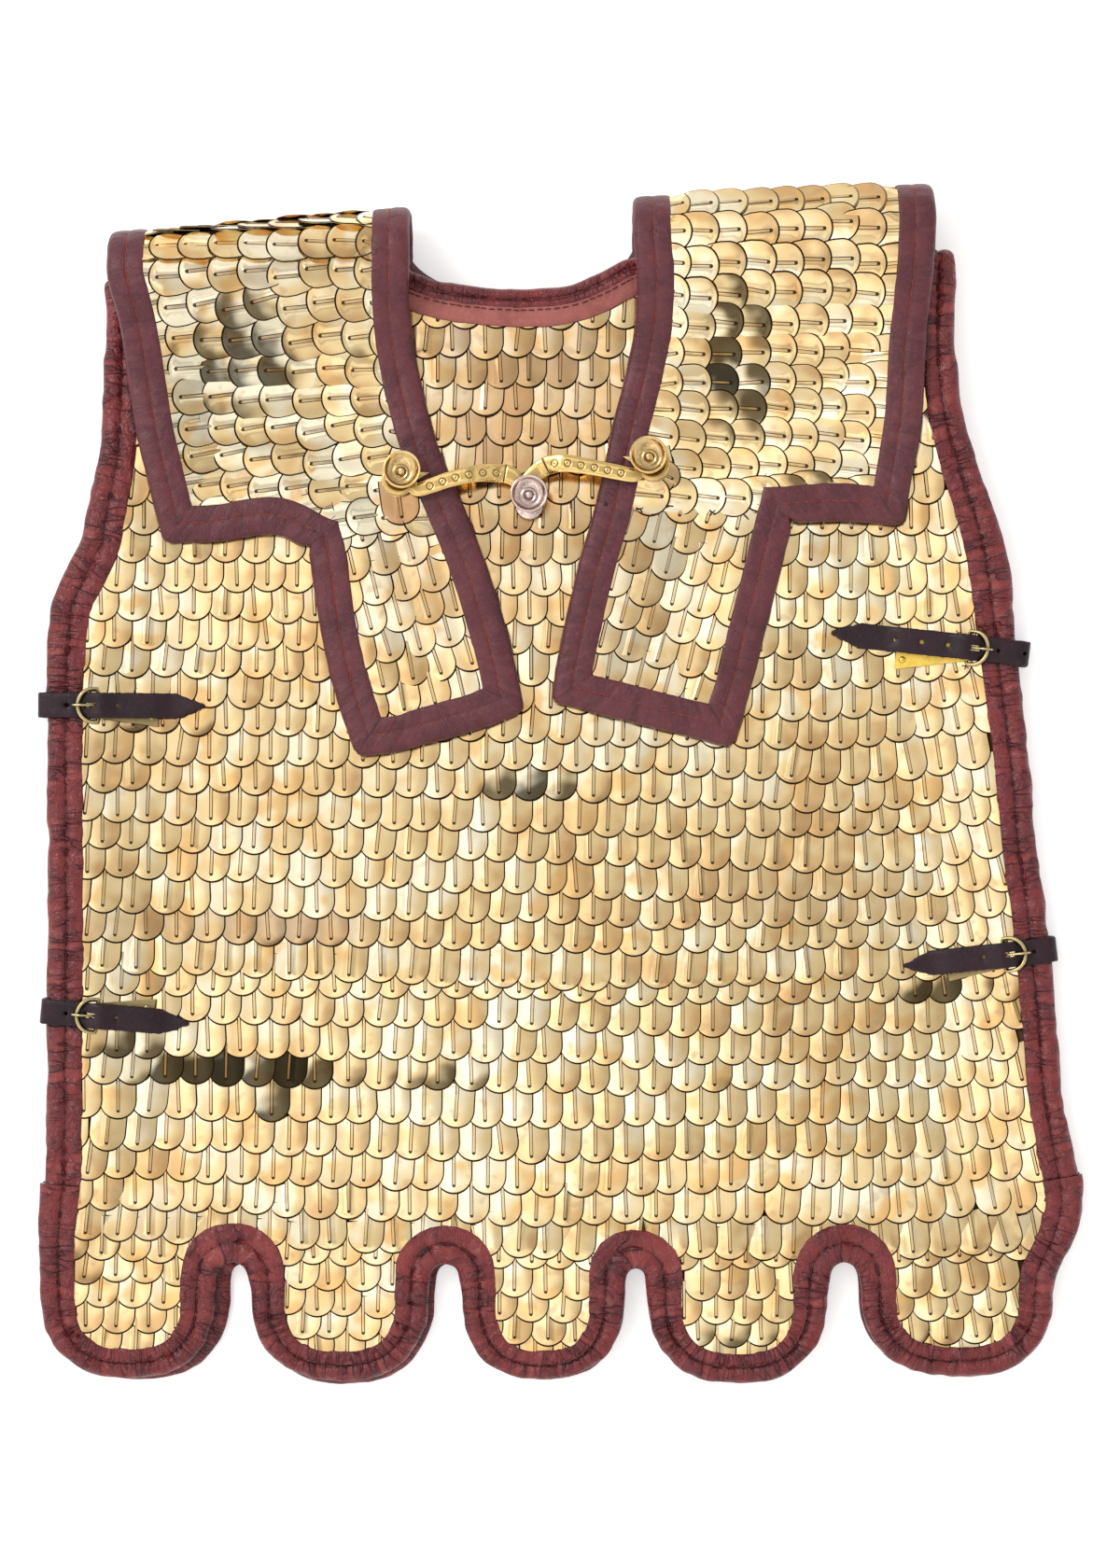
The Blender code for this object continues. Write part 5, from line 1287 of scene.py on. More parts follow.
# Heights of the tips of the body's rows from the breast down, at six places across.
ROW_X = (-268.0, 0.0, 45.0, 168.0, 225.0, 256.0)
BODY_ROWS = table(
    "left middle near right far edge",
    (28.0, 21.0, 20.0, 16.8, 24.6, 27.4), (9.5, 4.8, 3.9, -3.9, 0.0, 7.3), (-7.3, -13.0, -14.6, -20.7, -15.7, -10.6),
    (-25.8, -33.6, -35.3, -34.7, -33.0, -26.9), (-42.6, -51.5, -53.2, -56.6, -55.4, -47.0),
    (-59.4, -70.6, -73.9, -72.8, -71.1, -67.2), (-80.6, -87.4, -90.2, -89.0, -88.5, -83.4),
    (-97.4, -104.7, -107.0, -102.5, -101.9, -101.9), (-117.0, -127.7, -126.6, -122.1, -121.0, -119.0),
    (-129.9, -133.9, -136.6, -135.0, -134.4, -134.0), (-145.6, -152.0, -155.7, -154.0, -154.0, -150.0),
    (-167.4, -171.0, -174.2, -170.2, -169.7, -169.0), (-183.1, -189.3, -190.4, -185.4, -186.5, -185.4),
    (-203.8, -211.1, -210.0, -207.8, -207.8, -206.0), (-223.4, -231.8, -231.3, -228.0, -228.5, -222.9),
    (-241.4, -252.0, -252.0, -247.0, -246.4, -242.0), (-259.8, -269.9, -268.2, -268.2, -266.6, -262.1),
    (-277.8, -289.5, -289.5, -289.0, -288.4, -285.0), (-290.0, -295.5, -295.5, -294.5, -293.8, -290.0),
    (-303.0, -313.0, -313.5, -312.5, -311.9, -308.6), (-318.5, -327.5, -328.0, -327.5, -326.5, -324.0),
    (-333.5, -341.5, -342.0, -342.0, -341.0, -339.0), (-348.5, -354.0, -355.0, -355.0, -354.0, -352.0),
)
ROW_PITCH = 17.7
ROWS_ABOVE = 15
COLUMN_PITCH = 18.5
COLUMNS = 36
FIRST_COLUMN_X = -322
# The middle of what shows of a scale lies this far from its tip.
SHOWN_MIDDLE = 8
# Scales that show a warmer tone, or a darker face that is painted dark reflection and, by a strap, painted shadow:
# middle, half sizes, and how strong each is.
PATCHES = table(
    "x y wide high copper dark",
    (-20, 215, 78, 88, 1.0, 0.10), (-60, 120, 60, 60, 0.5, 0.0), (20, 90, 60, 60, 0.4, 0.0),
    (-180, -92, 96, 13, 0.75, 0.35), (-190, -176, 72, 9, 0.0, 1.0), (-90, -177, 60, 8, 0.0, 0.62),
    (-258, -158, 28, 6, 0.0, 0.9), (-252, 28, 46, 9, 0.0, 0.95), (232, -128, 40, 10, 0.0, 0.9),
    (-20, -6, 42, 6, 0.0, 0.72), (-165, -201, 10, 7, 0.0, 0.95), (120, -180, 90, 12, 0.1, 0.35),
    (-275, -290, 30, 26, 0.0, 0.45), (150, -75, 120, 20, 0.35, 0.0), (-230, -265, 70, 22, 0.3, 0.0),
    (-250, 120, 30, 70, 0.2, 0.0), (100, -335, 40, 12, 0.0, 0.5), (240, -330, 45, 14, 0.0, 0.45),
    (-130, -335, 26, 14, 0.0, 0.35), (-196, 257, 38, 38, 0.0, 0.84), (-130, 262, 12, 10, 0.0, 0.7),
    (114, 252, 24, 62, 0.0, 0.84), (160, 170, 22, 12, 0.0, 0.6), (-171.5, -199, 7, 8, 0.0, 0.68),
    (-180, 300, 110, 60, 0.24, 0.0), (130, 326, 110, 34, 0.25, 0.0),
)


def tones(x, y, rng):
    """Copper tone, and darkness that is painted dark reflection and shadow, for scales at these places."""
    copper, dark = 0.12 * rng.uniform(0, 1, len(x)) ** 2, np.zeros(len(x))
    for row in PATCHES:
        share = np.exp(-(((x - row.x) / row.wide) ** 2 + ((y - row.y) / row.high) ** 2) ** 1.5)
        luck = rng.uniform(0.55, 1.0, len(x))
        copper = np.maximum(copper, row.copper * share * luck)
        dark = np.maximum(dark, row.dark * share * luck)
    return copper, dark


def uneven_spots(x, q, heading, rng, uneven=0.004, lifted=0.0, shown=0):
    """Tips with small tilts, and with the tones of places this far up from them."""
    copper, dark = tones(x, q + shown, rng)
    tilt, roll = lifted + rng.normal(0, uneven, len(x)), rng.normal(0, 0.005, len(x))
    return Spots(x, q, heading, tilt, roll, copper, dark)


def body_spots(seed):
    """Tips over the whole shirt, row by row."""
    rng = np.random.default_rng(seed)
    rows = [tuple(r) for r in BODY_ROWS]
    top = np.array(rows[0])
    level = top.mean()
    for k in range(1, ROWS_ABOVE + 1):
        calm = max(0.0, 1 - k / 8)
        rows.insert(0, tuple(level + (top - level) * calm + ROW_PITCH * k))
    found = []
    for number, row in enumerate(rows):
        x = FIRST_COLUMN_X + (np.arange(COLUMNS) + 0.5 * (number % 2)) * COLUMN_PITCH + rng.uniform(-1.3, 1.3, COLUMNS)
        x += 1.5 * rng.uniform(-1, 1)
        q = np.interp(x, ROW_X, row) + rng.uniform(-0.9, 0.9, COLUMNS)
        # A row that lies close over the next one stands off it.
        gap = np.full(COLUMNS, ROW_PITCH)
        if number + 1 < len(rows):
            gap = np.interp(x, ROW_X, np.array(row) - np.array(rows[number + 1]))
        lifted = 1.1 * SLOPE * np.clip(0.85 * ROW_PITCH - gap, 0, ROW_PITCH) / SCALE_LENGTH
        found.append((x, q, lifted))
    x, q, lifted = map(np.concatenate, zip(*found))
    lean = np.radians(12) * smooth(x, 150, 275) - np.radians(3) * smooth(x, -200, -300)
    heading = lean + rng.normal(0, math.radians(2.6), len(x))
    return uneven_spots(x, q, heading, rng, lifted=lifted, shown=SHOWN_MIDDLE)


def chosen(spots, keep):
    return Spots(*[v[keep] for v in spots])


# How far scales reach under a binding.
UNDER_BINDING = 5.2
# The shirt is closed well below this height on each side of the neck, where the doublings lie over it.
HIDDEN_ABOVE, HIDDEN_BESIDE = 262, 20
# Nor do scales show this far inside a flap's edge.
HIDDEN_INSIDE = 22
# A scale is left out where its middle or its tip lies further than this outside the window.
MIDDLE_OUTSIDE, TIP_OUTSIDE = 3, 16
# The two halves of the front's field meet at this height.
FIELD_SPLIT_Y = -100


def window_of(*lines):
    """The closed loop that scales may fill: the bindings' inner edges moved out."""
    return np.vstack([line.moved_in(line.widths - UNDER_BINDING) for line in lines])[::2]


def body_field(label, seed):
    """The window of one side of the shirt, and the tips whose scales fill it."""
    window = window_of(*OUTLINES[label])
    spots = body_spots(seed)
    tip_inside = signed_inside(window, spots.x, spots.q)[0]
    middle_inside = signed_inside(window, spots.x, spots.q + SCALE_LENGTH / 2)[0]
    return window, chosen(spots, (middle_inside > -MIDDLE_OUTSIDE) & (tip_inside > -TIP_OUTSIDE))


def front_scales():
    """The front's field, in two halves. Scales that lie well under a doubling are simple ones."""
    window, spots = body_field("front", 11)
    hidden = (spots.q > HIDDEN_ABOVE) & (
        (spots.x < NECK_LEFT_X - HIDDEN_BESIDE) | (spots.x > NECK_RIGHT_X + HIDDEN_BESIDE)
    )
    for flap in FLAP_LINES:
        loop = flap[::-1] if area_inside(flap) < 0 else flap
        hidden |= signed_inside(loop, spots.x, spots.q + SHOWN_MIDDLE)[0] > HIDDEN_INSIDE
    fine, plain = scale_unit(SCALE_LENGTH, True), scale_unit(SCALE_LENGTH, False)
    upper = spots.q > FIELD_SPLIT_Y
    groups = [
        place_scales(unit, chosen(spots, which), FRONT, 1, window)
        for unit, which in ((fine, upper & ~hidden), (plain, hidden), (fine, ~upper & ~hidden))
    ]
    scale_piece("scales_front_upper", groups[:2], ["front_scales"])
    scale_piece("scales_front_lower", groups[2:])


def back_scales():
    """The back's field is like the front's. It lies on the floor, so its scales are simple and lie close."""
    window, spots = body_field("back", 29)
    spots = spots._replace(tilt=spots.tilt * 0, roll=spots.roll * 0, dark=spots.dark * 0)
    made = place_scales(scale_unit(SCALE_LENGTH, False), spots, BACK, -1, window, lip=HIDDEN_LIP, slope=0.036)
    made[0][:, 2] = np.maximum(made[0][:, 2], SCALES_CLEAR)
    scale_piece("scales_back", [made], ["back_scales"])


# Each doubling's field. Its scales stand in columns from the outer edge, which lies out to this side along these
# rows of the flap; columns say how far each one's tips stand in from it. The tab is sewn on below the seam's height.
# Flare is how far scales turn on the tight fold, by the angle round it. Least is how dark a chance tone may be.
# The tab has an axis that points down, along the middle of its two sides, and a foot that its rows are counted from.
Field = namedtuple("Field", "out edge columns seam seed flare least axis foot")
FIELDS = {
    "left": Field(
        -1.0, LEFT_FLAP[:6], (8.5, 24.5, 42.0, 59.0, 76.5, 94.5, 112.5, 130.0, 146.5), 150.0, 7,
        ((-1.3, 0.0), (-0.4, 0.10), (0.3, 0.15), (2.2, 0.15), (2.9, 0.0)), -1.0, (0.24, -0.971), (-78.0, 22.0),
    ),
    "right": Field(
        1.0, RIGHT_FLAP[18:], (11.0, 27.0, 44.0, 59.5, 76.0, 92.0, 109.5, 127.0, 143.5), 163.0, 8,
        ((-1.3, 0.0), (-0.4, 0.10), (0.3, 0.16), (1.1, 0.30), (1.7, 0.36), (2.3, 0.20), (2.9, 0.0)), -0.3,
        (-0.232, -0.973), (50.0, 33.0),
    ),
}
DOUBLING_PITCH = 17.6
DOUBLING_SCALE, DOUBLING_OVAL = 30.0, 0.86
YOKE_REACH = 190
TAB_ROWS, TAB_COLUMNS = 9, 9
TAB_PITCH, TAB_ROW_PITCH = 18.2, 17.4
# The lowest scales of a shoulder lie over the tab's top row.
OVER_TAB_LIFT, OVER_TAB_FLARE = 1.3, 0.06


def shoulder_groups(field, window, rng):
    """A doubling's scales above the tab, with their tips outwards: those on show, then the yoke's."""
    ys, xs = column(field.edge, "y"), column(field.edge, "x")
    order = np.argsort(ys)
    ys, xs = ys[order], xs[order]
    fold = DOUBLING_FOLD_Y + float(rise_of(DOUBLING_SHOULDER, xs[-1]))
    found = []
    for inset in field.columns:
        # Level rows: where the shoulder rises, so does each row.
        q = np.arange(field.seam + 6, fold + math.pi * DOUBLING_FOLD + YOKE_REACH, DOUBLING_PITCH)
        q = q + rng.uniform(-2.2, 2.2) + rng.uniform(-1.2, 1.2, len(q))
        edge = np.interp(q, ys, xs)
        slant = (np.interp(q + 12, ys, xs) - np.interp(q - 12, ys, xs)) / 24
        x = edge - field.out * (inset + rng.uniform(-1.0, 1.0, len(q)))
        lifted = rise_of(DOUBLING_SHOULDER, x) - rise_of(DOUBLING_SHOULDER, edge)
        q = q + 0.4 * lifted * smooth(q, 190, 300)
        # A tip that points out to the left heads along -x. It turns with the slant of the flap's edge.
        turn = -np.arctan(slant) * 0.8 + rng.normal(0, math.radians(2.6), len(q))
        found.append((x, q, field.out * math.pi / 2 + turn))
    x, q, heading = map(np.concatenate, zip(*found))
    spots = uneven_spots(x, q, heading, rng, uneven=0.005)
    spots = chosen(spots, signed_inside(window, spots.x - np.sin(spots.heading) * 14, spots.q)[0] > -8)
    shown = spots.q < fold + 1.9 * DOUBLING_FOLD
    over_tab = smooth(spots.q, field.seam + 26, field.seam + 8)
    bend = np.interp((spots.q - fold) / DOUBLING_FOLD, *zip(*field.flare))
    flare = np.maximum(rng.uniform(0.96, 1.04, len(spots.x)) * bend, OVER_TAB_FLARE * over_tab)
    # Scales are broader where the flap climbs, so that they still meet.
    low = np.minimum(spots.q, fold)
    climb = doubling_surface(spots.x, low + 3) - doubling_surface(spots.x, low - 3)
    stretch = np.clip(1.05 * np.linalg.norm(climb, axis=-1) / 6.0, 1.0, 1.24)
    fine, plain = (scale_unit(DOUBLING_SCALE, kind, DOUBLING_OVAL) for kind in (True, False))
    base = SCALE_BASE + OVER_TAB_LIFT * over_tab
    groups = [
        place_scales(
            fine, chosen(spots, shown), doubling_surface, 1, window,
            base=base[shown], stretch=stretch[shown], flare=flare[shown], least=field.least,
        ),
        place_scales(
            plain, chosen(spots, ~shown), doubling_surface, 1, window, lip=HIDDEN_LIP, slope=0.03, flare=flare[~shown]
        ),
    ]
    for made in groups:
        made[0][:, 2] = np.maximum(made[0][:, 2], SCALES_CLEAR)
    return groups


def tab_group(field, window, rng):
    """A tab's scales, with their tips down."""
    axis, foot = np.array(field.axis), np.array(field.foot)
    across = np.array((-axis[1], axis[0]))
    found = []
    for row in range(TAB_ROWS):
        u = (np.arange(TAB_COLUMNS) - TAB_COLUMNS // 2 + 0.5 * (row % 2)) * TAB_PITCH
        u = u + rng.uniform(-1.2, 1.2, TAB_COLUMNS)
        down = (row * TAB_ROW_PITCH + rng.uniform(-0.9, 0.9, TAB_COLUMNS))[:, None]
        found.append(foot + u[:, None] * across - axis * down)
    x, q = np.concatenate(found).T
    heading = math.atan2(axis[0], -axis[1]) + rng.normal(0, math.radians(2.4), len(x))
    spots = uneven_spots(x, q, heading, rng)
    centre_inside = signed_inside(window, spots.x - axis[0] * 13, spots.q - axis[1] * 13)[0]
    spots = chosen(spots, (centre_inside > -6) & (spots.q < field.seam - 1))
    return place_scales(scale_unit(SCALE_LENGTH, True), spots, doubling_surface, 1, window, slope=0.060, least=-0.7)


def doubling_scales(side):
    field = FIELDS[side]
    window = window_of(OUTLINES[f"doubling_{side}"])
    rng = np.random.default_rng(field.seed)
    groups = shoulder_groups(field, window, rng)
    tab = tab_group(field, window, rng)
    scale_piece(f"scales_doubling_{side}", groups, [f"doubling_{side}_scales"])
    scale_piece(f"scales_tab_{side}", [tab], [f"doubling_{side}_tab_scales"])


# ---------------------------------------------------------------- doublings


def doubling(side):
    """Leather wall and bound edge of one doubling, with its stitches."""
    left_side = side == "left"
    line = doubling_line(left_side)
    OUTLINES[f"doubling_{side}"] = line
    leather_wall(
        f"leather_doubling_{side}", line.moved_in(line.widths - WALL_INSET), ON_DOUBLING, WALL_LEATHER, "shirt_leather",
        [f"doubling_{side}"], ["front_panel"], spacing=9.0,
    )
    names = ("yoke_edge", "outer", "lower", "tab_side", "tab_end", "inner")
    fold = DOUBLING_FOLD_Y + rise_of(DOUBLING_SHOULDER, line.points[:, 0])
    flat = line.points[:, 1] > fold + math.pi * DOUBLING_FOLD - 2
    lift = np.where(flat, -0.75, 0.0)
    sewn = []
    for number, name in enumerate(names if left_side else reversed(names)):
        first, last = (int(i) for i in np.nonzero(line.runs == number)[0][[0, -1]])
        seed = 900 + 40 * left_side + 5 * number
        *made, run = binding(
            line, first, last, ON_DOUBLING, DOUBLING_TOP, seed, depth=0.5, spacing=11.0, flat=flat, round_ends=1.6
        )
        stands_for = f"doubling_{side}_binding_{name}"
        bound(f"edge_{side}_{name}", made, run, DOUBLING_LEATHER, "doubling_binding", stands_for, 0.5)
        sewn.append(stitches(
            line, first, last, ON_DOUBLING, share=0.545, out=4.0, pitch=5.6, length=4.3, thick=0.75,
            seed=seed + 3, lift=lift,
        ))
    add_piece(f"edge_{side}_stitches", *joined(sewn), RED_THREAD, "doubling_binding")


# Section of the neck's strip: share of its width from the roll, and distance out from the leather.
NECK_SECTION = table(
    "share out",
    (0.0, 4.3), (0.02, 4.75), (0.3, 5.0), (0.7, 5.0), (0.97, 4.85), (1.0, 4.5), (1.0, 4.15), (0.5, 4.1), (0.0, 4.1),
)
# The strip starts under the roll, this far in from its inner edge, and stops short of the neck's folded ends.
UNDER_ROLL, STRIP_EXTRA, STRIP_FROM = 1.2, 1.4, 2.6


def neck_strip():
    """The flat strip of lighter leather below the neck roll."""
    neck = OUTLINES["front"][1]
    ends = [int(np.argmin(np.abs(neck.index - i))) for i in (STRIP_FROM, neck.index[-1] - STRIP_FROM)]
    own = slice(ends[0], ends[1] + 1)
    at = neck.at[own]
    shares, outs = column(NECK_SECTION, "share")[None], column(NECK_SECTION, "out")[None]
    wide = NECK_STRIP_WIDTH + STRIP_EXTRA
    inward = (NECK_ROLL - UNDER_ROLL) + shares * wide + (shares > 0.9) * 0.35 * wobble(at, 5.0, 77)[:, None]
    raised = outs + (outs > 4.2) * (0.12 * wobble(at, 9.0, 78) + 0.1 * wobble(at, 3.5, 79))[:, None]
    spots = neck.points[own][:, None] + inward[..., None] * neck.normals[own][:, None]
    made = swept(ON_FRONT(spots[..., 0], spots[..., 1], raised))
    piece = add_piece("neck_band", *made, NECK_LEATHER, "neck_leather", ["front_neck_strip"], sharp=50)
    sewn = stitches(neck, *ends, ON_FRONT, share=1.06, out=5.05, pitch=4.6, length=3.2, thick=0.55, seed=80)
    add_piece("neck_band_stitches", *sewn, DARK_THREAD, "neck_leather")


# ---------------------------------------------------------------- studs and hooks


def stud_foot_height(row):
    laid = float(front_height(np.array(row.x), np.array(row.y)))
    if row.name == "stud_breast":
        return laid + SCALE_TOP + GAP
    return laid + FLAP_OVER_FRONT + PAD_CREST + GAP + SPUR_PLATE + GAP


CUP = table(
    "radius height",
    (0.02, 0.0), (8.3, 0.0), (8.6, 0.3), (8.5, 1.2), (7.6, 1.7), (6.0, 2.0), (4.9, 2.6), (4.3, 3.4), (4.2, 4.2),
    (4.2, 7.6), (4.5, 8.4), (5.6, 9.3), (7.6, 10.6), (9.4, 12.0), (10.5, 13.2), (11.1, 14.2), (11.15, 14.8),
    (10.8, 15.25), (10.3, 15.3), (9.9, 15.0), (9.6, 14.4), (8.9, 13.2), (7.8, 12.1), (6.4, 11.3), (5.2, 11.0),
    (4.7, 11.15), (4.3, 11.5), (3.8, 11.55), (3.3, 11.3), (2.9, 11.2), (2.5, 11.9), (2.1, 12.7), (1.5, 13.2),
    (0.8, 13.45), (0.02, 13.5),
)
# A stud stands upright up to this height and leans above it. The breast stud is stretched above the second.
UPRIGHT_TO, STRETCHED_AT = 1.4, 4.0
LEAF_RADIUS, LEAF_PINCH = 9.4, 2.4


def stud(row):
    """A turned spool with a cup, and its leaf-shaped plate if it has one."""
    foot = stud_foot_height(row)
    breast = row.name == "stud_breast"

    def middle_at(h):
        h = h + (BREAST_EXTRA if breast and h > STRETCHED_AT else 0.0)
        lean = max(0.0, h - UPRIGHT_TO)
        return row.x + row.lean_x * lean, row.y + row.lean_y * lean, foot + h

    made = turned([(r.radius, r.height) for r in CUP], middle_at)
    add_piece(f"{row.name}_turned", *made, STUD_PALE if breast else STUD_BRASS, "fittings", [row.name], sharp=60)
    if not breast:
        leaf(row, foot - GAP)


def leaf(row, top):
    """A stud's round plate with a point that reaches over the binding."""
    aim = math.atan2(row.spur_y, row.spur_x)
    outline = [
        (row.x + LEAF_RADIUS * math.cos(aim + angle), row.y + LEAF_RADIUS * math.sin(aim + angle))
        for angle in np.linspace(math.radians(26), math.radians(334), 40)
    ]
    tip = np.array((row.x + row.spur_x, row.y + row.spur_y))
    pull = np.array((row.x + 0.62 * row.spur_x, row.y + 0.62 * row.spur_y))
    pinch = LEAF_PINCH * np.array((-math.sin(aim), math.cos(aim)))
    shares = (0.25, 0.5, 0.75)

    def curve(start, bend, share):
        return tuple((1 - share) ** 2 * start + 2 * share * (1 - share) * bend + share**2 * tip)

    one, two = np.array(outline[-1]), np.array(outline[0])
    outline += [curve(one, pull - pinch, share) for share in shares]
    outline.append(tuple(tip))
    outline += [curve(two, pull + pinch, share) for share in shares[::-1]]
    loop = np.array(outline)
    middle = np.array((row.x, row.y)) + 0.1 * (tip - (row.x, row.y))
    inner = middle + (loop - middle) * 0.93
    flat = tiles_within(tiles([loop, inner], [], []), loop)

    def place(x, y, z):
        edge = distance_to(np.vstack([loop, loop[:1]]), x, y)
        drop = 0.35 * smooth(edge, 0.5, 0.0) * (np.asarray(z) > top - 0.3)
        return np.stack([x, y, z - drop], -1)

    made = shell(flat, place, top - SPUR_PLATE, top)
    add_piece(f"{row.name}_leaf", *made, STUD_BRASS, "fittings", [f"{row.name}_plate"])


# Six punched rings with a dot in each along a hook's bar, and a cut line after the last.
PUNCHES, PUNCH_RADIUS, PUNCH_PITCH = 6, 2.0, 8.1
FIRST_PUNCH, CUT_AFTER = 13.0, 5.2
HOOK_ROOT_HALF = 3.6
RING_STEPS = 72


def hook(name, rows, stud_row, low_height):
    """A cast hook: a flat ring, a bar with rounded edges and six punched rings, and a bent end."""
    high = stud_foot_height(stud_row) + RING_OVER_FOOT
    lean = RING_OVER_FOOT - UPRIGHT_TO
    centre = np.array((stud_row.x + stud_row.lean_x * lean, stud_row.y + stud_row.lean_y * lean))
    given = np.array([(r.x, r.y) for r in rows], float)
    control = np.vstack([centre + (given[0] - centre) * 0.62, given])
    path, index = curve_through(control, 0.32)
    half = np.interp(index, np.arange(len(control)), [HOOK_ROOT_HALF, *[r.half_width for r in rows]])[:, None]
    steps = unit_vectors(np.gradient(path, axis=0))
    side = np.column_stack([-steps[:, 1], steps[:, 0]])
    # The end bends down past the last control point that is level.
    reach = np.hypot(*(given - centre).T)
    bends = [reach[i] for i, r in enumerate(rows) if r.low > 0]
    ahead = np.maximum.accumulate(np.hypot(*(path - centre).T))
    drop = smooth(ahead, reach[len(rows) - len(bends) - 1], bends[1]) * (high - low_height)
    run = distances_along(path)
    thick = (np.interp(run, [run[0], run[-1] - 22, run[-1]], [1.0, 1.0, 0.85]) * HOOK_HALF_DEPTH)[:, None]
    across = np.sin(np.linspace(-math.pi / 2, math.pi / 2, 33))
    back_across = across[::-1][1:-1]
    rounded = 0.15 + 0.85 * np.sqrt(np.maximum(1 - np.abs(across) ** 3.2, 0))
    back_rounded = 0.15 + 0.85 * np.sqrt(1 - np.abs(back_across) ** 4)
    wide = half * across[None]
    along = run[:, None] - FIRST_PUNCH
    cut = np.zeros(wide.shape)
    for k in range(PUNCHES):
        away = np.hypot(along - k * PUNCH_PITCH, wide)
        cut -= 0.38 * np.exp(-(((away - PUNCH_RADIUS) / 0.30) ** 2)) + 0.36 * np.exp(-((away / 0.42) ** 2))
    past_last = along - (PUNCHES - 1) * PUNCH_PITCH - CUT_AFTER
    cut -= 0.45 * np.exp(-((past_last / 0.4) ** 2)) * (np.abs(across) < 0.96)[None]
    face = thick * rounded[None] + cut * smooth(1 - np.abs(across), 0.02, 0.2)[None]
    ring_u = np.concatenate([wide, half * back_across[None]], 1)
    ring_z = np.concatenate([face, -thick * back_rounded[None]], 1)
    spots = path[:, None] + ring_u[..., None] * side[:, None]
    bar = np.concatenate([spots, (high - drop[:, None] + ring_z)[..., None]], -1)

    angles = angles_round(RING_STEPS)
    middle, wide = (RING_OUTER + RING_INNER) / 2, (RING_OUTER - RING_INNER) / 2
    tilt = angles_round(14)
    square = [np.abs(wave(tilt)) ** 0.8 * np.sign(wave(tilt)) for wave in (np.cos, np.sin)]
    radius = middle + wide * square[0]
    ring = np.stack([
        centre[0] + radius[None] * np.cos(angles)[:, None], centre[1] + radius[None] * np.sin(angles)[:, None],
        np.repeat((high + HOOK_HALF_DEPTH * square[1])[None], RING_STEPS, 0),
    ], -1)
    made = joined([swept(bar), swept(ring, closed=True)])
    # How deep each point lies in a punch or cut line, for the finish's painted shade there.
    cuts = np.zeros((len(made[0]), 3))
    cuts[:bar.shape[0] * bar.shape[1], 0] = np.pad(np.maximum(-cut, 0), ((0, 0), (0, len(back_across)))).ravel()
    add_piece(f"{name}_cast", *made, HOOK_BRASS, "fittings", [name], body=name, sharp=55, cut=cuts)


# ---------------------------------------------------------------- straps and buckles


class Route:
    """A line in an upright plane, for strips that keep their thickness."""

    def __init__(self, points, step=None):
        points = np.array(points, float)
        self.points = points if step is None else curve_through(points, step)[0]
        steps = np.diff(self.points, axis=0)
        lengths = np.hypot(*steps.T)
        self.at = np.concatenate([[0.0], np.cumsum(lengths)])
        sides = np.stack([-steps[:, 1], steps[:, 0]], 1) / lengths[:, None]
        before, after = np.vstack([sides[:1], sides]), np.vstack([sides, sides[-1:]])
        self.normals = (before + after) / (1 + (before * after).sum(1))[:, None]

    def place(self, s, distance):
        return [
            np.interp(s, self.at, self.points[:, k]) + distance * np.interp(s, self.at, self.normals[:, k])
            for k in (0, 1)
        ]

    def run_at(self, u):
        """Length along the route where it last reaches this distance from the edge."""
        behind = np.nonzero(self.points[:, 0] < u)[0]
        last = int(behind[-1]) if len(behind) else 0
        ahead = min(last + 1, len(self.points) - 1)
        return float(np.interp(u, self.points[[last, ahead], 0], self.at[[last, ahead]]))


class Frame:
    """A strap's own directions: along the strap from the garment's edge, across it, and up."""

    def __init__(self, row):
        self.origin = np.array((row.x, row.y))
        self.along = np.array((row.along_x, row.along_y))
        self.across = np.array((-row.along_y, row.along_x)) * math.copysign(1.0, row.along_x)
        ends = [self.height(*self.spot(40.0, w)) for w in (-STRAP_WIDTH / 2, STRAP_WIDTH / 2)]
        self.tilt = (ends[1] - ends[0]) / STRAP_WIDTH

    def height(self, x, y):
        return float(front_height(np.array(x), np.array(y)))

    def spot(self, u, w):
        return tuple(self.origin[k] + u * self.along[k] + w * self.across[k] for k in (0, 1))

    def point(self, u, w, z):
        u, w, z = alike(u, w, z)
        x, y = self.spot(u, w)
        return np.stack([x, y, z + self.tilt * w], -1)

    def laid(self, u):
        """Height of the front below the strap."""
        return max(self.height(*self.spot(u, w)) - self.tilt * w for w in (-16.0, -8.0, 0.0, 8.0))


def box(start, end, half):
    return np.array([(start, -half), (end, -half), (end, half), (start, half)])


def strap_route(row, at):
    """A strap's middle line: from its root between the walls, round the edge, through the buckle and to its tip."""
    half = STRAP_THICK / 2
    root = half + float(back_height(row.y)) - FLOOR_MID + 0.1
    crest = at.laid(4.0) + PAD_CREST + GAP + half
    out = -(row.slack - half)
    wire, bar = at.laid(row.wire), at.laid(row.bar)
    plate_end = row.bar + row.plate
    return Route([
        (ROOT_REACH, root), (3.0, root), (out + 1.6, root + 0.5), (out + 0.1, root + 2.6),
        (out, (root + crest) / 2), (out + 0.1, crest - 3.2), (out + 1.6, crest - 0.5), (out + 4.2, crest + 0.2),
        (row.wire - 4.0, crest + 0.1),
        (row.wire + 2.2, wire + STRAP_UNDER_WIRE),
        (row.bar - 1.0, bar + STRAP_OVER_BAR), (row.bar + 4.0, bar + STRAP_OVER_BAR),
        (row.bar + 12.0, at.laid(row.bar + 12.0) + STRAP_OVER_RIVETS),
        (plate_end - 2.0, at.laid(plate_end - 2.0) + STRAP_OVER_RIVETS),
        (plate_end + 8.0, at.laid(plate_end + 8.0) + SCALE_TOP + 2 * GAP + half),
        (row.reach, at.laid(row.reach) + SCALE_TOP + 2 * GAP + half),
    ], step=1.0)


SOFT_EDGE = 0.75
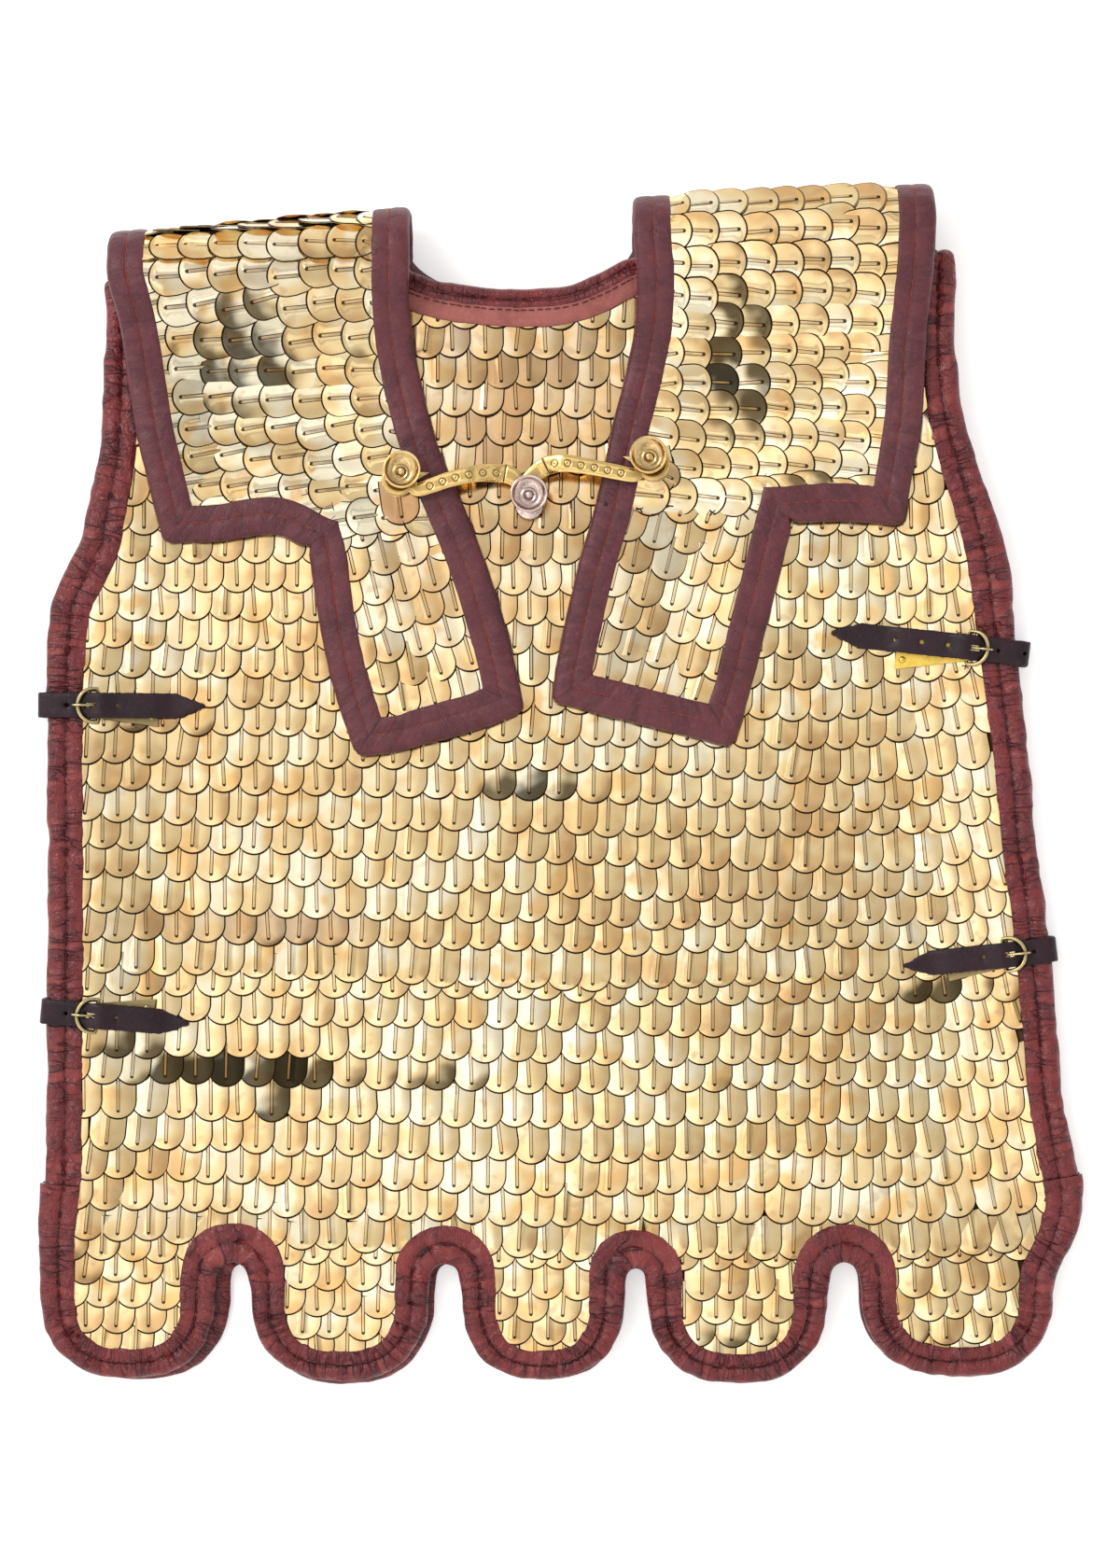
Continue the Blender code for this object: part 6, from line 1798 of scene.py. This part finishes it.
# How long a strap's point is, from where it starts to narrow and from where its sides turn in to the tip.
POINT_LONG, TIP_LONG = 17.0, 9.0


def strap(row, number):
    """The strap: square at its root, pointed and torn at its tip, with a row of punched holes and soft edges."""
    at = Frame(row)
    route = strap_route(row, at)
    end, half = float(route.at[-1]), STRAP_WIDTH / 2
    point_from, shoulder = end - POINT_LONG, end - TIP_LONG
    rng = np.random.default_rng(60 + number)
    shape = [(0.0, -half), (point_from, -half), (shoulder, -half * 0.62), (end, -0.9)]
    shape += [(end, 0.9), (shoulder, half * 0.58), (point_from, half), (0.0, half)]
    outline = []
    for a, b in zip(shape, shape[1:] + shape[:1]):
        a, b = np.array(a), np.array(b)
        count = max(1, int(np.linalg.norm(b - a) / 1.6))
        for k in range(count):
            spot = a + (b - a) * k / count
            torn = 0.16 + 0.34 * float(smooth(spot[0], point_from - 4, end))
            outline.append(spot + rng.uniform(-torn, torn, 2) * (abs(spot[1]) > 1))
    outline = np.array(outline)
    inward = np.column_stack([np.clip(outline[:, 0], 1.0, end - 3.0), np.zeros(len(outline))]) - outline
    inward /= np.maximum(np.linalg.norm(inward, axis=1), 1e-6)[:, None]
    inner = outline + SOFT_EDGE * inward
    prong_at = route.run_at(row.bar - 3.0)
    slot_from, slot_to = route.run_at(row.wire + 3.8), route.run_at(row.bar - 0.4)
    angles = np.linspace(0, 2 * math.pi, 14, endpoint=False)
    holes = [box(slot_from, slot_to, PRONG_SLOT)]
    for step in (*range(-row.before, 0), *range(1, row.past + 1)):
        spot = prong_at + step * HOLE_PITCH
        holes.append(np.column_stack([spot + HOLE_RADIUS * np.cos(angles), HOLE_RADIUS * np.sin(angles)]))
    s, w = np.meshgrid(np.arange(2.0, end - 6, 1.8), (-4.6, -1.6, 1.6, 4.6))
    dots = np.column_stack([s.ravel(), w.ravel()])
    for hole in holes:
        middle = hole.mean(0)
        dots = dots[np.abs(dots - middle).max(1) > np.abs(hole - middle).max() + 0.4]
    flat = tiles_within(tiles([outline, inner, *holes], [], dots), outline, holes)
    border = [np.vstack([loop, loop[:1]]) for loop in (outline, *holes)]

    def place(s, w, distance):
        away = np.min([distance_to(line, s, w) for line in border], axis=0)
        slim = np.sqrt(np.clip(1 - (1 - np.clip(away / SOFT_EDGE, 0, 1)) ** 2 * 0.75, 0, 1))
        bow = 0.10 * wobble(s, 11.0, 70 + number) * np.sign(distance)
        u, z = route.place(s, distance * slim + bow * 0.5)
        return at.point(u, w, z)

    made = shell(flat, place, -STRAP_THICK / 2, STRAP_THICK / 2)
    add_piece(f"strap_{row.name}_band", *made, STRAP_LEATHER, "strap_leather", [f"strap_{row.name}"], sharp=60)


def buckle(row):
    """A D of round wire, its prong, and the riveted plate that holds them."""
    at = Frame(row)
    bar_z = at.laid(row.bar) + BAR_HEIGHT
    wire_z = at.laid(row.wire) + WIRE_HEIGHT
    depth = row.bar - row.wire
    half = [(r.depth, r.half) for r in D_CURVE]
    bow = curve_through([*half[1:], (1.0, 0.0), *[(s, -h) for s, h in reversed(half[1:])]], 0.05)[0]
    bow = np.vstack([[(0.0, 0.9), (0.04, 1.0), (0.15, 1.0)], bow, [(0.15, -1.0), (0.04, -1.0), (0.0, -0.9)]])
    bow = np.vstack([bow, [(0.0, w) for w in (-0.5, 0.0, 0.5)]])
    climb = np.minimum(1.0, bow[:, 0] / 0.8)
    path = at.point(row.bar - depth * bow[:, 0], BUCKLE_HALF * bow[:, 1], bar_z + (wire_z - bar_z) * climb)
    radius = np.where(bow[:, 0] < 0.02, 1.0, 1.2)
    add_piece(
        f"buckle_{row.name}_wire", *tube(path, radius, 14, closed=True), BUCKLE_BRASS, "fittings",
        [f"buckle_{row.name}"], sharp=60,
    )
    rest = wire_z + WIRE + 0.75
    eye = WIRE + 0.75
    around = [
        (row.bar + eye * math.cos(math.radians(a)), bar_z + eye * math.sin(math.radians(a)))
        for a in range(-150, 96, 24)
    ]
    reach = [
        (row.bar - 2.0, bar_z + eye + 0.6), (row.bar - 5.5, (bar_z + rest) / 2 + 1.0), (row.wire + 2.6, rest + 0.35),
        (row.wire, rest + 0.3), (row.wire - 2.2, rest - 0.15), (row.wire - 3.0, rest - 0.6),
    ]
    line = curve_through(around + reach, 0.5)[0]
    count = len(line)
    thick = np.interp(np.arange(count), [0, 6, count * 0.5, count - 3, count - 1], [0.55, 0.6, 0.85, 0.7, 0.35])
    side = at.point(0.0, 1.0, 0.0) - at.point(0.0, 0.0, 0.0)
    made = tube(at.point(line[:, 0], 0.0, line[:, 1]), thick, 10, upright=side)
    add_piece(f"prong_{row.name}_tongue", *made, BUCKLE_BRASS, "fittings", [f"prong_{row.name}"], sharp=60)
    plate(row, at, bar_z)


PLATE_NARROW, PLATE_WIDE = 7.3, 9.5
NOTCH_LONG, NOTCH_HALF = 6.2, 1.5
RIVETS = table("share across", (0.90, -0.45), (0.86, 0.45))
RIVET_DOME = ((1.9, -0.5), (2.1, 0.05), (2.0, 0.35), (1.6, 0.7), (1.0, 0.92), (0.02, 1.0))


def plate(row, at, bar_z):
    """A strip of sheet brass folded round the buckle's bar, narrower at the fold, notched for the prong and riveted."""
    end = row.bar + row.plate
    bottom, top = SCALE_TOP + GAP + PLATE_THICK / 2, SCALE_TOP + 2 * GAP + 1.5 * PLATE_THICK
    bend = [
        (row.bar - PLATE_BEND * math.sin(math.radians(a)), bar_z - PLATE_BEND * math.cos(math.radians(a)))
        for a in range(0, 181, 18)
    ]
    route = Route([
        (end, at.laid(end) + bottom), (row.bar + 14, at.laid(row.bar + 14) + bottom), *bend,
        (row.bar + 9, at.laid(row.bar + 9) + top), (end, at.laid(end) + top),
    ])
    fold = (route.at[2] + route.at[12]) / 2

    def edge(s, side):
        away = min(1.0, abs(s - fold) / fold)
        return s, side * (PLATE_NARROW + (PLATE_WIDE - PLATE_NARROW) * away) + row.drift * away

    stops = np.unique(np.concatenate([np.linspace(0, float(route.at[-1]), 40), route.at]))
    outline = np.array([edge(s, -1) for s in stops] + [edge(s, 1) for s in stops[::-1]])
    notch = box(fold - NOTCH_LONG, fold + NOTCH_LONG, NOTCH_HALF)
    rows = [[(s, -60.0), (s, 60.0)] for s in route.at[1:-1]]
    flat = tiles_within(tiles([outline, notch], rows, []), outline, [notch])

    def place(s, w, distance):
        u, z = route.place(s, distance)
        return at.point(u, w, z)

    parts = [shell(flat, place, -PLATE_THICK / 2, PLATE_THICK / 2)]
    for rivet in RIVETS:
        u, w = row.bar + row.plate * rivet.share, rivet.across * PLATE_WIDE + row.drift * rivet.share
        x, y, z = at.point(u, w, at.laid(u) + SCALE_TOP + 2 * GAP + 2 * PLATE_THICK)
        parts.append(turned(RIVET_DOME, lambda h, x=x, y=y, z=z: (x, y, z + h), 20))
    finish = PLATE_BRASS if row.name == "right_upper" else PLATE_DARK
    add_piece(f"plate_{row.name}_leaf", *joined(parts), finish, "fittings", [f"buckle_plate_{row.name}"], sharp=35)


# ---------------------------------------------------------------- loose scales and thread ends

# Loose scales that lie over their neighbours, by the studs.
LOOSE = table(
    "x q turn base copper dark wide",
    (-93.0, 152.5, 8, 4.2, 0.95, 0.0, 1.05), (72.0, 178.0, 62, 3.6, 0.6, 0.0, 0.8),
    (62.0, 171.0, 12, 3.4, 0.1, 0.1, 0.9),
)


def loose_scales():
    unit = scale_unit(SCALE_LENGTH, True)
    groups = []
    for row in LOOSE:
        turn = math.radians(row.turn)
        spot = Spots(*(np.array([v], float) for v in (row.x, row.q, turn, 0, 0, row.copper, row.dark)))
        window = window_of(OUTLINES["doubling_left" if row.x < CENTRE_BACK_X else "doubling_right"])
        groups.append(place_scales(
            unit, spot, doubling_surface, 1, window, base=row.base, lip=9.0, slope=0.02, stretch=row.wide
        ))
    scale_piece("scales_loose", groups)


KNOTS = table(
    "x y size",
    (-138, 153, 1.0), (-118, 157, 0.9), (-96, 154, 1.1), (-70, 150, 1.0), (-146, 149, 0.8),
    (28, 165, 1.0), (48, 162, 1.0), (66, 164, 0.9), (92, 160, 1.0), (112, 158, 1.0), (240, 88, 1.1), (245, 69, 0.9),
)


def knots():
    """Short ends of black thread at the tab seams, and two by the upper right buckle."""
    rng = np.random.default_rng(90)
    steps = np.linspace(-1, 1, 7)
    parts = []
    for row in KNOTS:
        place = ON_DOUBLING if row.x < 150 else ON_FRONT
        for _ in range(2):
            turn, bend = rng.uniform(0, 2 * math.pi), rng.uniform(-0.8, 0.8)
            x = row.x + row.size * (2.2 * steps * math.cos(turn) - bend * steps**2 * math.sin(turn))
            q = row.y + row.size * (2.2 * steps * math.sin(turn) + bend * steps**2 * math.cos(turn))
            parts.append(tube(place(x, q, LIP + 0.9 * (1 - steps**2)), 0.33, 6))
    add_piece("tab_thread_ends", *joined(parts), BLACK_THREAD, "scales")


# ---------------------------------------------------------------- building


def build():
    for label, place, under in (
        ("front", ON_FRONT, ["back_panel"]), ("back", ON_BACK, ["doubling_left", "doubling_right"])
    ):
        body_trim(label, label == "back")
        loop = np.vstack([line.moved_in(line.widths - WALL_INSET) for line in OUTLINES[label]])
        leather_wall(f"leather_{label}", loop, place, WALL_LEATHER, "shirt_leather", [f"{label}_panel"], under)
    neck_strip()
    for side in ("left", "right"):
        doubling(side)
    front_scales()
    back_scales()
    for side in ("left", "right"):
        doubling_scales(side)
    loose_scales()
    for row in STUDS:
        stud(row)
    hook("hook_left", LEFT_HOOK, STUDS[0], LEFT_HOOK_LOW)
    hook("hook_right", RIGHT_HOOK, STUDS[1], RIGHT_HOOK_LOW)
    for number, row in enumerate(STRAPS):
        strap(row, number)
        buckle(row)
    knots()


# ---------------------------------------------------------------- floor, light, camera


def sky():
    """A wide soft sky that is brighter on the left, with slow unevenness and a faint tint, and plain low down."""
    world = bpy.data.worlds.new("studio")
    bpy.context.scene.world = world
    world.use_nodes = True
    g = Nodes(world.node_tree)
    g.nodes.clear()
    where = g.add("ShaderNodeTexCoord").outputs["Generated"]
    split = g.add("ShaderNodeSeparateXYZ")
    g.links.new(where, split.inputs[0])
    cloud = g.noise(5.0, 0.0, vector=where)
    sideways = g.ramp(split.outputs["X"], -0.32, 0.26, 1.36, 0.72)
    overhead = g.ramp(split.outputs["Y"], 0.10, 0.45, 1.0, 0.86)
    patches = g.ramp(cloud, 0.42, 0.58, 0.72, 1.30)
    uneven = g.times(g.times(sideways, overhead), patches)
    upwards = g.ramp(split.outputs["Z"], 0.22, 0.62)
    light = g.add("ShaderNodeBackground")
    hue = g.mix(g.times(g.ramp(cloud, 0.40, 0.62, 1.0, 0.0), upwards), (1.0, 0.99, 0.97), (1.0, 0.96, 0.92))
    g.feed(light.inputs["Color"], hue)
    g.feed(light.inputs["Strength"], g.math("ADD", g.times(g.math("SUBTRACT", uneven, 1.0), upwards), 1.0))
    g.links.new(light.outputs[0], g.add("ShaderNodeOutputWorld").inputs["Surface"])


def added(name, data, place):
    """A new object in the scene."""
    made = bpy.data.objects.new(name, data)
    made.location = place
    bpy.context.scene.collection.objects.link(made)
    return made


FLOOR_HALF, FLOOR_DROP = 4, 0.0002
CAMERA_AT, CAMERA_LENS = (0.00048, 0.00198, 2.02), 76.5


def studio():
    """A pale floor under the sky, one window light, and the camera straight above."""
    sky()
    lamp = bpy.data.lights.new("window", "AREA")
    lamp.shape, lamp.size, lamp.size_y, lamp.energy = "RECTANGLE", 0.7, 0.7, 8.0
    window = added("window", lamp, (-0.95, 0.80, 1.35))
    window.rotation_euler = (-Vector(window.location)).to_track_quat("-Z", "Y").to_euler()

    mesh, far = bpy.data.meshes.new("floor"), FLOOR_HALF
    mesh.from_pydata([(-far, -far, 0), (far, -far, 0), (far, far, 0), (-far, far, 0)], [], [(0, 1, 2, 3)])
    g = Graph("floor")
    g.shader.inputs["Emission Color"].default_value = (1, 1, 1, 1)
    g.material.cycles.emission_sampling = "NONE"
    mesh.materials.append(g.finish((0.90, 0.90, 0.90), 0.85, Specular_IOR_Level=0.1, Emission_Strength=0.40))
    floor = added("floor", mesh, (0, 0, -FLOOR_DROP))

    camera = bpy.data.cameras.new("camera")
    camera.sensor_width, camera.lens = 36.0, CAMERA_LENS
    scene = bpy.context.scene
    scene.camera = added("camera", camera, CAMERA_AT)
    scene.view_settings.view_transform = "Standard"
    scene.cycles.max_bounces, scene.cycles.diffuse_bounces, scene.cycles.glossy_bounces = 6, 2, 4


build()
studio()
